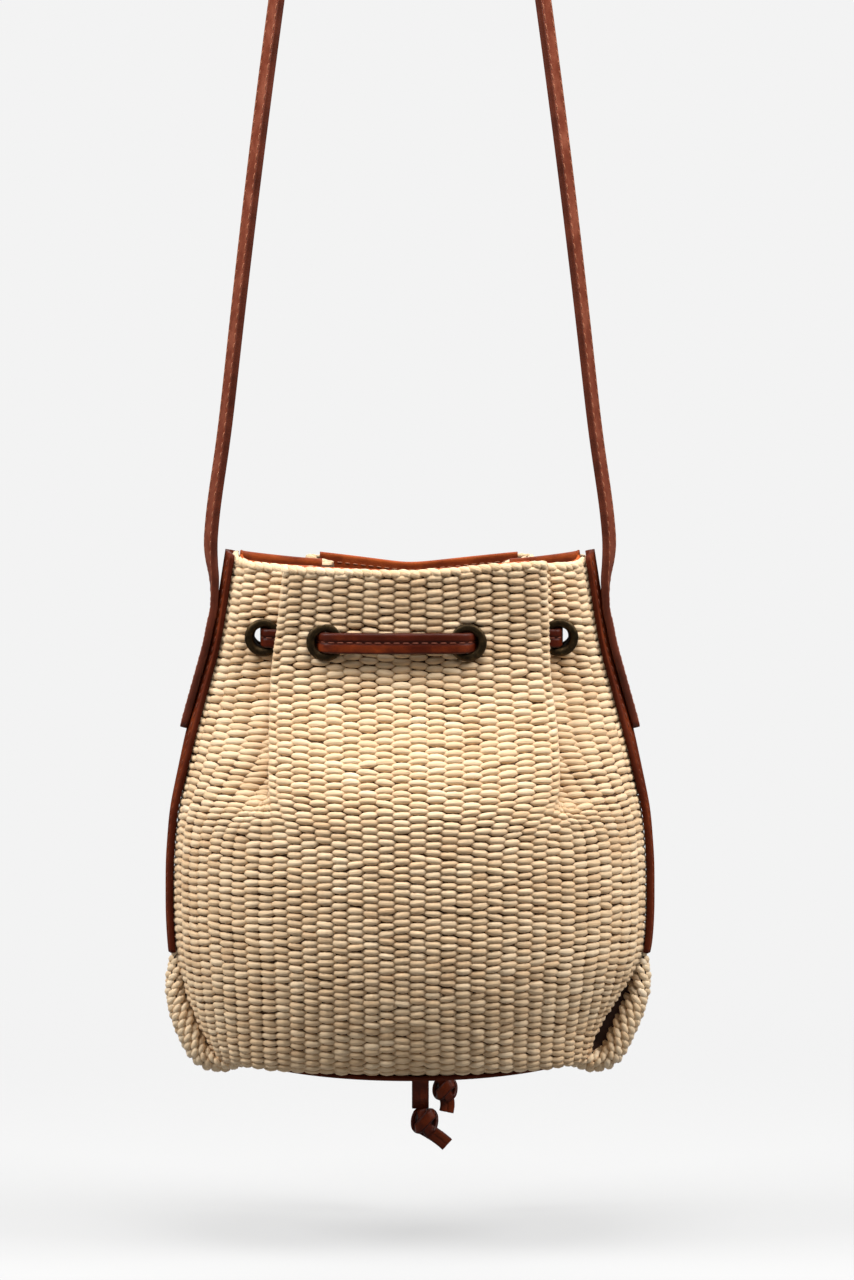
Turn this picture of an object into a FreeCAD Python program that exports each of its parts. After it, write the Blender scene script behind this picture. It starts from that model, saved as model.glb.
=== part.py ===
import FreeCAD
import Part
import math
import os

from FreeCAD import Vector

# A drawstring bucket bag of woven straw with leather trim, hanging from its shoulder strap.
# Origin: underside of the strap at the top of its loop. +X to the bag's left-to-right,
# +Y to its back, +Z up. Millimetres. "depth" is measured down from the corners of the rim.

# ---- driving dimensions ----
strap_drop = 480.0  # rim corner up to the underside of the strap
bag_height = 233.5  # rim corner down to the underside of the base
pivot_depth = 18.0  # where each strap leg leaves its sewn end
strap_width = 11.0
strap_thickness = 3.4
strap_pivot_x = 89.1
strap_lean = 0.0961  # inward slope of a strap leg just above its foot
strap_bow = 0.0000818  # growth of that slope with height
strap_straight = 12.0  # upright length of a strap leg above its pivot
strap_twist_low = 21.0  # degrees, both legs turn their outer face to the front
strap_twist_high = 28.0

weave = 3.2  # thickness of the woven straw
facing = 1.2  # thickness of the leather facing inside the rim
lining_thickness = 0.8
rim_dip = 5.0  # front and back lips sit this much below the corners
lip_hinge_depth = 117.0
fold_full_depth = 47.0  # pleats are fully folded above this depth
side_band = 3.0  # leather strip over each side seam
side_band_width = 18.0
side_band_end = 183.0
facing_height = 56.0
belly_front = 60.0
belly_back = 58.0

string_depth = 37.5
string_width = 8.4
string_thickness = 2.6
string_bend = 2.2  # centre line radius where the string turns into a hole
front_holes = (-37.8, 25.9)
back_holes = (-24.0, 33.0)
side_holes = (-65.7, 67.1)
tie_x = 9.5
tie_depth = 44.0
tie_radius = 7.0
tail_top_depth = 52.5
tail_top_y = 43.0
tail_width = 7.8
tail_thickness = 2.4

eyelet_outer = 8.45  # radius
eyelet_inner = 4.6  # radius
eyelet_barrel = 5.4  # radius
eyelet_flange = 1.5
pleat_eyelet_outer = 7.0

# Half width of the straw body at its side seams, by depth.
side_profile = [(0, 80.0), (40, 86.3), (81, 97.8), (117, 105.5), (158, 107.5), (183, 106.6)]
# Half width and the share of the belly's depth of the lower body, below the hinge line.
lower_profile = [
    (117, 105.5, 1.0), (140, 107.2, 1.02), (165, 107.3, 1.01), (190, 105.5, 0.97),
    (212, 100.5, 0.9), (225, 92.5, 0.83), (231, 86.0, 0.78),
]

# Folds of the rim: outer fold of the centre section and inner fold beside it, x and y.
folds = {
    "front": {"side": -1, "belly": belly_front, "bulge": 29.0, "left": (59.5, 25.0, 38.0, 11.5),
              "right": (61.5, 25.0, 38.0, 11.5), "wing": 11.0},
    "back": {"side": 1, "belly": belly_back, "bulge": 34.0, "left": (46.0, 30.0, 35.5, 7.5),
             "right": (55.0, 30.0, 41.5, 7.5), "wing": 9.5},
}
lip_edge_x = 61.0  # where the pleats run out into the belly

rim_z = -strap_drop
os.makedirs("parts", exist_ok=True)


def save(shape, name):
    solid_count = len(shape.Solids)
    print(name, "valid", shape.isValid(), "solids", solid_count, "volume", round(shape.Volume))
    shape.exportStep("parts/" + name + ".step")


def interpolate(table, depth, column=1):
    """Smooth value of a table's column at a depth."""
    rows = list(table)
    if depth <= rows[0][0]:
        return rows[0][column]
    for low, high in zip(rows, rows[1:]):
        if depth <= high[0]:
            share = (depth - low[0]) / (high[0] - low[0])
            return low[column] + share * (high[column] - low[column])
    return rows[-1][column]


def fold_weight(depth):
    """1 where the pleats are fully folded, 0 where they have run out."""
    share = (depth - fold_full_depth) / (lip_hinge_depth - fold_full_depth)
    share = min(max(share, 0.0), 1.0)
    return 1.0 - share * share * (3.0 - 2.0 * share)


def lip_point(wall, across, depth):
    """Outer surface of a centre section: across runs from -1, left fold, to 1, right fold."""
    data = folds[wall]
    edge = data["left"] if across < 0 else data["right"]
    weight = fold_weight(depth)
    half_width = interpolate(side_profile, depth)
    folded_x = across * edge[0]
    folded_y = edge[1] + (data["bulge"] - edge[1]) * (1.0 - across * across)
    open_x = across * lip_edge_x
    open_y = data["belly"] * math.sqrt(1.0 - (open_x / half_width) ** 2)
    x = weight * folded_x + (1.0 - weight) * open_x
    y = weight * folded_y + (1.0 - weight) * open_y
    return (x, data["side"] * y)


def wing_point(wall, hand, share, depth):
    """Outer surface of a side section: share runs from 0, side seam, to 1, inner fold."""
    data = folds[wall]
    edge = data["left"] if hand < 0 else data["right"]
    weight = fold_weight(depth)
    half_width = interpolate(side_profile, depth)
    folded_x = half_width - (half_width - edge[2]) * share ** 1.7
    folded_y = data["wing"] * (1.0 - (1.0 - share) ** 3.5) + (edge[3] - data["wing"]) * share
    reach = math.acos(lip_edge_x / half_width)
    open_x = half_width * math.cos(reach * share)
    open_y = data["belly"] * math.sin(reach * share)
    x = weight * folded_x + (1.0 - weight) * open_x
    y = weight * folded_y + (1.0 - weight) * open_y
    return (hand * x, data["side"] * y)


def inward(points, side):
    """Unit normals of a plan curve, pointing into the bag."""
    normals = []
    last = len(points) - 1
    for index in range(len(points)):
        before = points[max(index - 1, 0)]
        after = points[min(index + 1, last)]
        along_x = after[0] - before[0]
        along_y = after[1] - before[1]
        length = math.hypot(along_x, along_y)
        normals.append((side * -along_y / length, side * along_x / length))
    return normals


def band_wire(points, side, start, end, z):
    """Closed outline of a wall from start to end inside a plan curve."""
    normals = inward(points, side)
    outer = [Vector(p[0] + n[0] * start, p[1] + n[1] * start, z) for p, n in zip(points, normals)]
    inner = [Vector(p[0] + n[0] * end, p[1] + n[1] * end, z) for p, n in zip(points, normals)]
    first = Part.BSplineCurve()
    first.interpolate(outer)
    second = Part.BSplineCurve()
    second.interpolate(inner[::-1])
    edges = [first.toShape(), Part.makeLine(outer[-1], inner[-1]),
             second.toShape(), Part.makeLine(inner[0], outer[0])]
    return Part.Wire(edges)


def wall(curve, depths, side, start, end):
    """A wall lofted through plan curves at several depths."""
    wires = [band_wire(curve(depth), side, start, end, rim_z - depth) for depth in depths]
    return Part.makeLoft(wires, True, True)


def steps(low, high, count):
    return [low + (high - low) * index / (count - 1) for index in range(count)]


def hole_frames(wall_name, spots, point_at):
    """Centre on the outer surface and outward normal, in plan, of the holes in a wall."""
    frames = []
    for spot in spots:
        low = point_at(spot, -0.01)
        high = point_at(spot, 0.01)
        middle = point_at(spot, 0.0)
        run = Vector(high[0] - low[0], high[1] - low[1], 0)
        normal = Vector(run.y, -run.x, 0).normalize()
        if normal.y * folds[wall_name]["side"] < 0:
            normal = normal * -1
        frames.append((Vector(middle[0], middle[1], string_z), normal))
    return frames


def lip_spot(name):
    def point_at(x, shift):
        edge = folds[name]["left"] if x < 0 else folds[name]["right"]
        return lip_point(name, x / edge[0] + shift, string_depth)
    return point_at


def wing_share(name, x):
    edge = folds[name]["left"] if x < 0 else folds[name]["right"]
    half_width = interpolate(side_profile, string_depth)
    return ((half_width - abs(x)) / (half_width - edge[2])) ** (1 / 1.7)


def wing_spot(name):
    def point_at(x, shift):
        hand = -1 if x < 0 else 1
        return wing_point(name, hand, wing_share(name, x) + shift, string_depth)
    return point_at


string_z = rim_z - string_depth
lip_holes = {"front": hole_frames("front", front_holes, lip_spot("front")),
             "back": hole_frames("back", back_holes, lip_spot("back"))}
wing_holes = {"front": hole_frames("front", side_holes, wing_spot("front")),
              "back": hole_frames("back", side_holes, wing_spot("back"))}


def pierce(shape, frames, radius=eyelet_barrel):
    """Cut round holes for the eyelets."""
    for centre, normal in frames:
        start = centre + normal * 6.0
        shape = shape.cut(Part.makeCylinder(radius, 13.0, start, normal * -1))
    return shape


# ---- centre sections, which open about a line across the belly ----
def lip_curve(name, margin):
    def curve(depth):
        return [lip_point(name, across, depth) for across in steps(-1 + margin, 1 - margin, 13)]
    return curve


upper_levels = [16.0, 30.0, 47.0, facing_height, 66.0, 78.0, 90.0, 102.0]
facing_levels = upper_levels[:4]
facing_start = weave + 0.4
facing_inside = facing_start + facing
upper_depths = [rim_dip] + upper_levels + [lip_hinge_depth - 3.0]
for name in ("front", "back"):
    side = -folds[name]["side"]
    panel = wall(lip_curve(name, 0.012), upper_depths, side, 0.0, weave)
    save(pierce(panel, lip_holes[name]), name + "_lip_panel")
    facing_depths = [rim_dip - 0.4] + facing_levels
    sheet = wall(lip_curve(name, 0.05), facing_depths, side, facing_start, facing_inside)
    save(pierce(sheet, lip_holes[name]), name + "_lip_facing")


# ---- side sections of the two panels, with the lower body below them ----
def wing_curve(name, hand, reach, start=0.06):
    def curve(depth):
        return [wing_point(name, hand, share, depth) for share in steps(start, reach, 11)]
    return curve


def arc_curve(name, half_width_offset=0.0):
    data = folds[name]

    def curve(depth):
        half_width = interpolate(lower_profile, depth) - half_width_offset
        belly = data["belly"] * interpolate(lower_profile, depth, 2) - half_width_offset
        angles = [math.radians(angle) for angle in steps(2.0, 178.0, 17)]
        return [(half_width * math.cos(angle), data["side"] * belly * math.sin(angle))
                for angle in angles]
    return curve


wing_depths = [1.0] + upper_levels + [lip_hinge_depth - 0.5]
lower_depths = [row[0] for row in lower_profile]
for name in ("front", "back"):
    outward = folds[name]["side"]
    pieces = [wall(arc_curve(name), lower_depths, outward, 0.0, weave)]
    for hand in (-1, 1):
        section = wall(wing_curve(name, hand, 0.97), wing_depths, outward * hand, 0.0, weave)
        pieces.append(pierce(section, wing_holes[name]))
    save(Part.makeCompound(pieces), name + "_panel")


# ---- pleats: the cloth folded between a side section and a centre section ----
def pleat_curve(name, hand):
    def curve(depth):
        inner_fold = wing_point(name, hand, 1.0, depth)
        outer_fold = lip_point(name, hand, depth)
        toward = folds[name]["side"]
        start = (inner_fold[0] - hand * 1.0, inner_fold[1] + toward * 0.8)
        end = (outer_fold[0] - hand * 6.0, outer_fold[1] - toward * 6.0)
        middle = ((start[0] + end[0]) / 2, (start[1] + end[1]) / 2 + toward * 0.6)
        return [start, middle, end]
    return curve


def pleat_frame(name, hand):
    """Centre of a pleat at the string, and its normal towards the inside of the bag."""
    start, middle, end = pleat_curve(name, hand)(string_depth)
    normal = Vector(end[1] - start[1], start[0] - end[0], 0).normalize()
    if normal.x * hand > 0:
        normal = normal * -1
    return (Vector(middle[0], middle[1], string_z), normal)


hand_names = {-1: "left", 1: "right"}
pleat_half = 0.8
for name in ("front", "back"):
    for hand in (-1, 1):
        turn = folds[name]["side"] * hand
        pleat = wall(pleat_curve(name, hand), [6.0, 25.0, 40.0, 55.0], turn, -pleat_half, pleat_half)
        holes = [pleat_frame(name, hand)]
        save(pierce(pleat, holes), name + "_" + hand_names[hand] + "_pleat")


# ---- leather facings inside the rim beside the side seams ----
for hand in (-1, 1):
    pieces = []
    for name in ("front", "back"):
        turn = folds[name]["side"] * hand
        sheet = wall(wing_curve(name, hand, 0.93, 0.22), [0.6] + facing_levels, turn,
                     facing_start, facing_inside)
        pieces.append(pierce(sheet, wing_holes[name]))
    save(Part.makeCompound(pieces), hand_names[hand] + "_side_facing")


# ---- leather strips over the side seams, and the strap's sewn ends on them ----
def side_wire(depth, hand, start, end, width):
    x_inner = interpolate(side_profile, depth) + start
    x_outer = interpolate(side_profile, depth) + end
    z = rim_z - depth
    corners = [(x_inner, -width / 2), (x_outer, -width / 2), (x_outer, width / 2),
               (x_inner, width / 2)]
    return Part.makePolygon([Vector(hand * x, y, z) for x, y in corners + corners[:1]])


strip_depths = [-0.6, 20.0, 40.0, 60.0, 81.0, 100.0, 117.0, 138.0, 158.0, side_band_end]
end_depths = [pivot_depth + strap_width / 2 + 0.6, 30.0, 40.0, 60.0, 79.0]
for hand in (-1, 1):
    hand_name = hand_names[hand]
    strip = Part.makeLoft([side_wire(d, hand, 0.6, side_band, side_band_width)
                           for d in strip_depths], True, True)
    save(strip, hand_name + "_side_strip")
    sewn = Part.makeLoft([side_wire(d, hand, side_band, side_band + strap_thickness, strap_width)
                          for d in end_depths], True, True)
    save(sewn, hand_name + "_strap_end")


# ---- woven corners folded round the bottom of each side seam ----
def corner_wire(depth, hand):
    outer = interpolate([(185, 110.3), (200, 109.0), (212, 105.4), (222, 100.8), (231, 92.0)],
                        depth)
    inner = interpolate(lower_profile, depth) + 1.2
    half = interpolate([(185, 9.0), (205, 17.0), (231, 24.0)], depth)
    shift = 0.16 * half
    corners = [(inner, -0.3 * half), (outer - shift, -half), (outer, 0), (outer - shift, half),
               (inner, 0.3 * half)]
    return Part.makePolygon([Vector(hand * x, y, rim_z - depth)
                             for x, y in corners + corners[:1]])


for hand in (-1, 1):
    corner = Part.makeLoft([corner_wire(d, hand) for d in (185, 200, 212, 222, 231)], True, True)
    save(corner, hand_names[hand] + "_corner")


# ---- base and lining ----
def oval(half_width, half_depth, z, height):
    ellipse = Part.Ellipse(Vector(0, 0, z), half_width, half_depth)
    face = Part.Face(Part.Wire([ellipse.toShape()]))
    return face.extrude(Vector(0, 0, height))


base_z = rim_z - bag_height
base_half_width = 88.0
base_half_depth = 47.0
save(oval(base_half_width, base_half_depth, base_z, 2.2), "leather_base")
save(oval(base_half_width - 9.0, base_half_depth - 8.0, base_z + 2.7, 1.8), "base_board")

lining_pieces = []
for name in ("front", "back"):
    lining_pieces.append(wall(arc_curve(name), lower_depths[:-2], folds[name]["side"],
                              weave + 0.4, weave + 0.4 + lining_thickness))
save(Part.makeCompound(lining_pieces), "lining")


# ---- eyelets: a flange and barrel, and a washer behind the facing ----
def revolved(profile, centre, normal):
    """Turn a radius and height outline about a hole's axis."""
    wire = Part.makePolygon([Vector(r, 0, h) for r, h in profile + profile[:1]])
    ring = Part.Face(wire).revolve(Vector(0, 0, 0), Vector(0, 0, 1), 360)
    turn = FreeCAD.Rotation(Vector(0, 0, 1), normal)
    ring.Placement = FreeCAD.Placement(centre, turn)
    return ring


def eyelet(centre, normal, reach, outer=eyelet_outer):
    barrel_radius = eyelet_barrel - 0.05
    profile = [(eyelet_inner, -reach), (barrel_radius, -reach), (barrel_radius, 0.3), (outer, 0.3),
               (outer, 0.6 * eyelet_flange), (outer - 0.9, eyelet_flange),
               (eyelet_inner + 0.9, eyelet_flange), (eyelet_inner, 0.6 * eyelet_flange)]
    return revolved(profile, centre, normal)


def washer(centre, normal):
    low = -facing_inside - 1.3
    high = -facing_inside - 0.5
    profile = [(eyelet_barrel + 0.05, low), (eyelet_outer - 0.6, low), (eyelet_outer - 0.3, high),
               (eyelet_barrel + 0.05, high)]
    return revolved(profile, centre, normal)


eyelet_groups = {
    "front_lip": lip_holes["front"],
    "back_lip": lip_holes["back"],
    "side": wing_holes["front"] + wing_holes["back"],
}
for group, frames in eyelet_groups.items():
    rings = [eyelet(centre, normal, facing_inside + 1.6) for centre, normal in frames]
    save(Part.makeCompound(rings), group + "_eyelets")
    save(Part.makeCompound([washer(*frame) for frame in frames]), group + "_washers")

pleat_holes = {(name, hand): pleat_frame(name, hand) for name in ("front", "back")
               for hand in (-1, 1)}
rings = []
for centre, normal in pleat_holes.values():
    rings.append(eyelet(centre + normal * (pleat_half + 0.3), normal, 2 * pleat_half + 0.6,
                        pleat_eyelet_outer))
save(Part.makeCompound(rings), "pleat_eyelets")


# ---- flat leather bands along a path of straight runs joined by arcs ----
def rounded_path(points, radii):
    """Straight runs with an arc of the given radius at each inner point."""
    edges = []
    start = points[0]
    for before, corner, after, radius in zip(points, points[1:], points[2:], radii):
        arrive = (corner - before).normalize()
        leave = (after - corner).normalize()
        turn = arrive.getAngle(leave)
        cut = radius * math.tan(turn / 2)
        first = corner - arrive * cut
        last = corner + leave * cut
        centre_way = (leave - arrive).normalize()
        middle = corner + centre_way * (radius / math.cos(turn / 2) - radius)
        edges.append(Part.makeLine(start, first))
        edges.append(Part.Arc(first, middle, last).toShape())
        start = last
    edges.append(Part.makeLine(start, points[-1]))
    return Part.Wire(edges)


def widest_radii(points):
    """The largest arc that each corner's two runs allow."""
    radii = []
    for before, corner, after in zip(points, points[1:], points[2:]):
        turn = (corner - before).getAngle(after - corner)
        shorter = min((corner - before).Length, (after - corner).Length)
        radii.append(0.45 * shorter / math.tan(turn / 2))
    return radii


def offset_edges(path, distance, across):
    """The path moved sideways within its plane, whose normal is across."""
    edges = []
    for edge in path.Edges:
        ends = []
        middle_parameter = (edge.FirstParameter + edge.LastParameter) / 2
        for parameter in (edge.FirstParameter, middle_parameter, edge.LastParameter):
            tangent = edge.tangentAt(parameter)
            ends.append(edge.valueAt(parameter) + tangent.cross(across) * distance)
        if edge.Curve.TypeId == "Part::GeomLine":
            edges.append(Part.makeLine(ends[0], ends[2]))
        else:
            edges.append(Part.Arc(*ends).toShape())
    return edges


def band(path, thickness, width, across):
    """A flat band: the path thickened in its plane and extruded across it."""
    one = offset_edges(path, thickness / 2, across)
    other = offset_edges(path, -thickness / 2, across)
    ends = [Part.makeLine(one[0].Vertexes[0].Point, other[0].Vertexes[0].Point),
            Part.makeLine(one[-1].Vertexes[-1].Point, other[-1].Vertexes[-1].Point)]
    outline = Part.Wire(Part.__sortEdges__(one + other + ends))
    face = Part.Face(outline)
    face.translate(across * (-width / 2))
    solid = face.extrude(across * width)
    expected = path.Length * thickness * width
    print("  band length", round(path.Length, 1), "volume ratio", round(solid.Volume / expected, 4))
    return solid


up = Vector(0, 0, 1)


def plan(*points):
    return [Vector(x, y, string_z) for x, y in points]


def string_band(points, radii):
    return band(rounded_path(points, radii), string_thickness, string_width, up)


# Front span: out of one hole, along the outside, into the other.
run_out = eyelet_flange + string_thickness / 2 + 0.5
(left_hole, left_normal), (right_hole, right_normal) = lip_holes["front"]
front_points = [left_hole - left_normal * 7.5, left_hole + left_normal * run_out]
for x in (-16.0, 4.0):
    y = -(folds["front"]["bulge"] + run_out - 0.2)
    front_points.append(Vector(x, y, string_z))
front_points += [right_hole + right_normal * run_out, right_hole - right_normal * 7.5]
save(string_band(front_points, [string_bend, 60.0, 60.0, string_bend]), "drawstring_front")

# Back spans: out of each hole to the tie.
spans = []
for (hole, normal), end_x in zip(lip_holes["back"], (tie_x - tie_radius - 0.5,
                                                   tie_x + tie_radius + 0.5)):
    outside = hole + normal * run_out
    end = Vector(end_x, folds["back"]["bulge"] + run_out + 2.0, string_z)
    spans.append(string_band([hole - normal * 7.5, outside, end], [string_bend]))
save(Part.makeCompound(spans), "drawstring_back")

# Side runs: through the front pleat, the two side holes and the back pleat.
for hand in (-1, 1):
    front_pleat, front_in = pleat_holes[("front", hand)]
    back_pleat, back_in = pleat_holes[("back", hand)]
    index = 0 if hand < 0 else 1
    front_hole = wing_holes["front"][index][0]
    back_hole = wing_holes["back"][index][0]
    points = [front_pleat + front_in * 4.2, front_pleat - front_in * 1.4,
              Vector(front_hole.x, front_hole.y - run_out, string_z),
              Vector(back_hole.x, back_hole.y + run_out, string_z),
              back_pleat - back_in * 5.0, back_pleat + back_in * 6.0]
    radii = [1.6, string_bend, string_bend, 6.0]
    save(string_band(points, radii), "drawstring_" + hand_names[hand])


# ---- tie at the back, and the two hanging tails with their knots ----
def barrel(centre, axis, radius, height):
    """A rounded knot body: a barrel with domed ends."""
    half = height / 2
    top = Vector(0, 0, half)
    bottom = Vector(0, 0, -half)
    side_low = Vector(radius * 0.62, 0, -half)
    side_high = Vector(radius * 0.62, 0, half)
    bulge = Part.Arc(side_low, Vector(radius, 0, 0), side_high).toShape()
    edges = [Part.makeLine(bottom, side_low), bulge, Part.makeLine(side_high, top),
             Part.makeLine(top, bottom)]
    solid = Part.Face(Part.Wire(edges)).revolve(Vector(0, 0, 0), up, 360)
    solid.Placement = FreeCAD.Placement(centre, FreeCAD.Rotation(up, axis))
    return solid


tie_centre = Vector(tie_x, tail_top_y, rim_z - tie_depth)
save(barrel(tie_centre, Vector(1, 0, 0), tie_radius, 2 * tie_radius - 1.0), "drawstring_tie")

# Each tail: distance behind the bag's middle plane, and depth, of the points of its route.
tail_routes = {
    "left": [(43.0, 52.5), (53.0, 78.0), (62.5, 107.0), (66.6, 140.0), (67.9, 179.0),
             (67.2, 222.0), (67.8, 266.5)],
    "right": [(43.0, 52.5), (53.4, 78.0), (63.4, 106.0), (68.2, 138.0), (70.1, 174.0),
              (70.2, 212.0), (71.4, 253.0)],
}
tail_x = {"left": 4.6, "right": 15.4}
knots = {"left": (6.6, 6.0, 12.0, 5.0, 10.4), "right": (16.0, 5.4, 10.2, 5.6, 0.6)}
for hand_name, route in tail_routes.items():
    points = [Vector(tail_x[hand_name], y, rim_z - depth) for y, depth in route]
    radii = widest_radii(points)
    print(hand_name, "tail radii", [round(radius) for radius in radii])
    tail = band(rounded_path(points, radii), tail_thickness, tail_width, Vector(1, 0, 0))
    save(tail, hand_name + "_tail")
    knot_x, radius, height, stub, lean = knots[hand_name]
    end = points[-1]
    centre = Vector(knot_x, end.y, end.z - height / 2 - 0.1)
    knot = barrel(centre, up, radius, height)
    foot = Vector(knot_x, end.y, end.z - height + 2.0)
    tip = foot + Vector(lean, 0.0, -stub - 2.0)
    way = tip - foot
    wide = Vector(-way.z, 0, way.x).normalize() * (tail_width / 2 - 0.4)
    outline = Part.makePolygon([foot - wide, tip - wide, tip + wide, foot + wide, foot - wide])
    slab = Part.Face(outline)
    slab.translate(Vector(0, -tail_thickness / 2, 0))
    save(knot.fuse(slab.extrude(Vector(0, tail_thickness, 0))), hand_name + "_tail_knot")


# ---- shoulder strap: one loop from pivot to pivot, turned a little on each leg ----
def leg_x(height):
    rise = max(height - strap_straight, 0.0)
    return strap_pivot_x - strap_lean * rise - strap_bow * rise * rise


def leg_slope(height):
    rise = max(height - strap_straight, 0.0)
    return math.atan(strap_lean + 2 * strap_bow * rise)


def top_centre_height(height):
    """Height of the loop's top if its round part starts at this height."""
    slope = leg_slope(height)
    radius = leg_x(height) / math.cos(slope)
    return height - radius * math.sin(slope) + radius


def smooth(value, low, high):
    share = min(max((value - low) / (high - low), 0.0), 1.0)
    return share * share * (3.0 - 2.0 * share)


loop_height = strap_drop + pivot_depth + strap_thickness / 2
low, high = 300.0, loop_height
for _ in range(60):
    middle = (low + high) / 2
    if top_centre_height(middle) < loop_height:
        low = middle
    else:
        high = middle
round_start = low
round_slope = leg_slope(round_start)
round_radius = leg_x(round_start) / math.cos(round_slope)
round_height = loop_height - round_radius
print("strap loop radius", round(round_radius, 1), "starts", round(round_start, 1))


def strap_station(x, height, lean, twist):
    """Cross-section of the strap; lean turns its outer face from sideways up to the top."""
    outward = Vector(math.cos(lean), 0, math.sin(lean))
    face = outward * math.cos(twist) + Vector(0, -math.sin(twist), 0)
    wide = Vector(0, math.cos(twist), 0) + outward * math.sin(twist)
    centre = Vector(x, 0, rim_z - pivot_depth + height)
    corners = []
    for across, along in ((-1, -1), (1, -1), (1, 1), (-1, 1)):
        corners.append(centre + face * (across * strap_thickness / 2)
                       + wide * (along * strap_width / 2))
    return Part.makePolygon(corners + corners[:1])


stations = []
leg_heights = [0.0, 6.0, 12.0, 18.0, 25.0, 35.0, 50.0, 80.0, 120.0, 170.0, 230.0, 290.0, 350.0,
               410.0, round_start]
for height in leg_heights:
    twist = strap_twist_low * smooth(height, 6.0, 40.0)
    twist += (strap_twist_high - strap_twist_low) * smooth(height, 40.0, 300.0)
    twist *= 1.0 - smooth(height, 330.0, loop_height + 20.0)
    stations.append((leg_x(height), height, leg_slope(height), math.radians(twist)))
last_twist = stations[-1][3]
quarter = math.pi / 2
for share in (0.2, 0.4, 0.6, 0.8, 1.0):
    lean = round_slope + (quarter - round_slope) * share
    x = round_radius * math.cos(lean)
    height = round_height + round_radius * math.sin(lean)
    stations.append((x, height, lean, last_twist * (1.0 - share)))
right_half = [strap_station(*station) for station in stations]
left_half = [strap_station(-x, height, math.pi - lean, twist)
             for x, height, lean, twist in stations[:-1]]
loop = Part.makeLoft(right_half + left_half[::-1], True, True)
for hand in (-1, 1):
    centre = Vector(hand * strap_pivot_x - strap_thickness / 2, 0, rim_z - pivot_depth)
    loop = loop.fuse(Part.makeCylinder(strap_width / 2, strap_thickness, centre, Vector(1, 0, 0)))
save(loop, "shoulder_strap")
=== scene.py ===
import math

import bpy
import numpy as np
from mathutils import Matrix, Vector


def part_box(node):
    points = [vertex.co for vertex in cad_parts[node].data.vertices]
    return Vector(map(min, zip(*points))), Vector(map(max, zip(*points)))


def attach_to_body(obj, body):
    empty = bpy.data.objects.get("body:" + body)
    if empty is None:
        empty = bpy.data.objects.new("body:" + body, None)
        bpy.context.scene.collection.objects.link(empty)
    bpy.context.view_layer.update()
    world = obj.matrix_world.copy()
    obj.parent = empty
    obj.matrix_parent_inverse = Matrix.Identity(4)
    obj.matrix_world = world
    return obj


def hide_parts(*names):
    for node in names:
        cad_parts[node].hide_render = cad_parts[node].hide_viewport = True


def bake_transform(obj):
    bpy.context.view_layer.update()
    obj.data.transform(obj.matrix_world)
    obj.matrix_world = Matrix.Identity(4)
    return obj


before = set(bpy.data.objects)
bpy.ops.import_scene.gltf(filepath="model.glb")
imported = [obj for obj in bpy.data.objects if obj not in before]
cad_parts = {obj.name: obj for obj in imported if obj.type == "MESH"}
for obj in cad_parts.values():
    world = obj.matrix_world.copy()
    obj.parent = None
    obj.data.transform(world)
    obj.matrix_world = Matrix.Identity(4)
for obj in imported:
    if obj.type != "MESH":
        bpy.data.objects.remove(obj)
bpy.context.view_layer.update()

# A drawstring bucket bag of woven straw with leather trim, hanging from its shoulder strap.
# Surfaces are worked out in millimetres from the rim corners, where "depth" is measured down.
MM = 0.001
BAG_HEIGHT = 233.5
RIM_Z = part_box("leather_base")[0].z / MM + BAG_HEIGHT
rng = np.random.default_rng(7)


def rgb(red, green, blue):
    """Linear colour of an sRGB colour."""
    parts = []
    for value in (red, green, blue):
        value /= 255
        parts.append(value / 12.92 if value <= 0.04045 else ((value + 0.055) / 1.055) ** 2.4)
    return (*parts, 1.0)


# ---------------------------------------------------------------- camera
CAMERA_DISTANCE = 4.0
CAMERA_ELEVATION = math.radians(7.47)
SENSOR_WIDTH = 36.0
SEEN_WIDTH = 0.576  # metres across the picture at the bag
camera_data = bpy.data.cameras.new("camera")
camera_data.sensor_width = SENSOR_WIDTH
camera_data.lens = SENSOR_WIDTH * CAMERA_DISTANCE / SEEN_WIDTH
camera = bpy.data.objects.new("camera", camera_data)
target = Vector((0.00765, 0.0, (RIM_Z - 40.0) * MM))
camera.location = target + Vector((0, -math.cos(CAMERA_ELEVATION), math.sin(CAMERA_ELEVATION))) \
    * CAMERA_DISTANCE
camera.rotation_euler = (math.pi / 2 - CAMERA_ELEVATION, 0, 0)
bpy.context.scene.collection.objects.link(camera)
bpy.context.scene.camera = camera
bpy.context.scene.view_settings.view_transform = "Standard"


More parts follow.
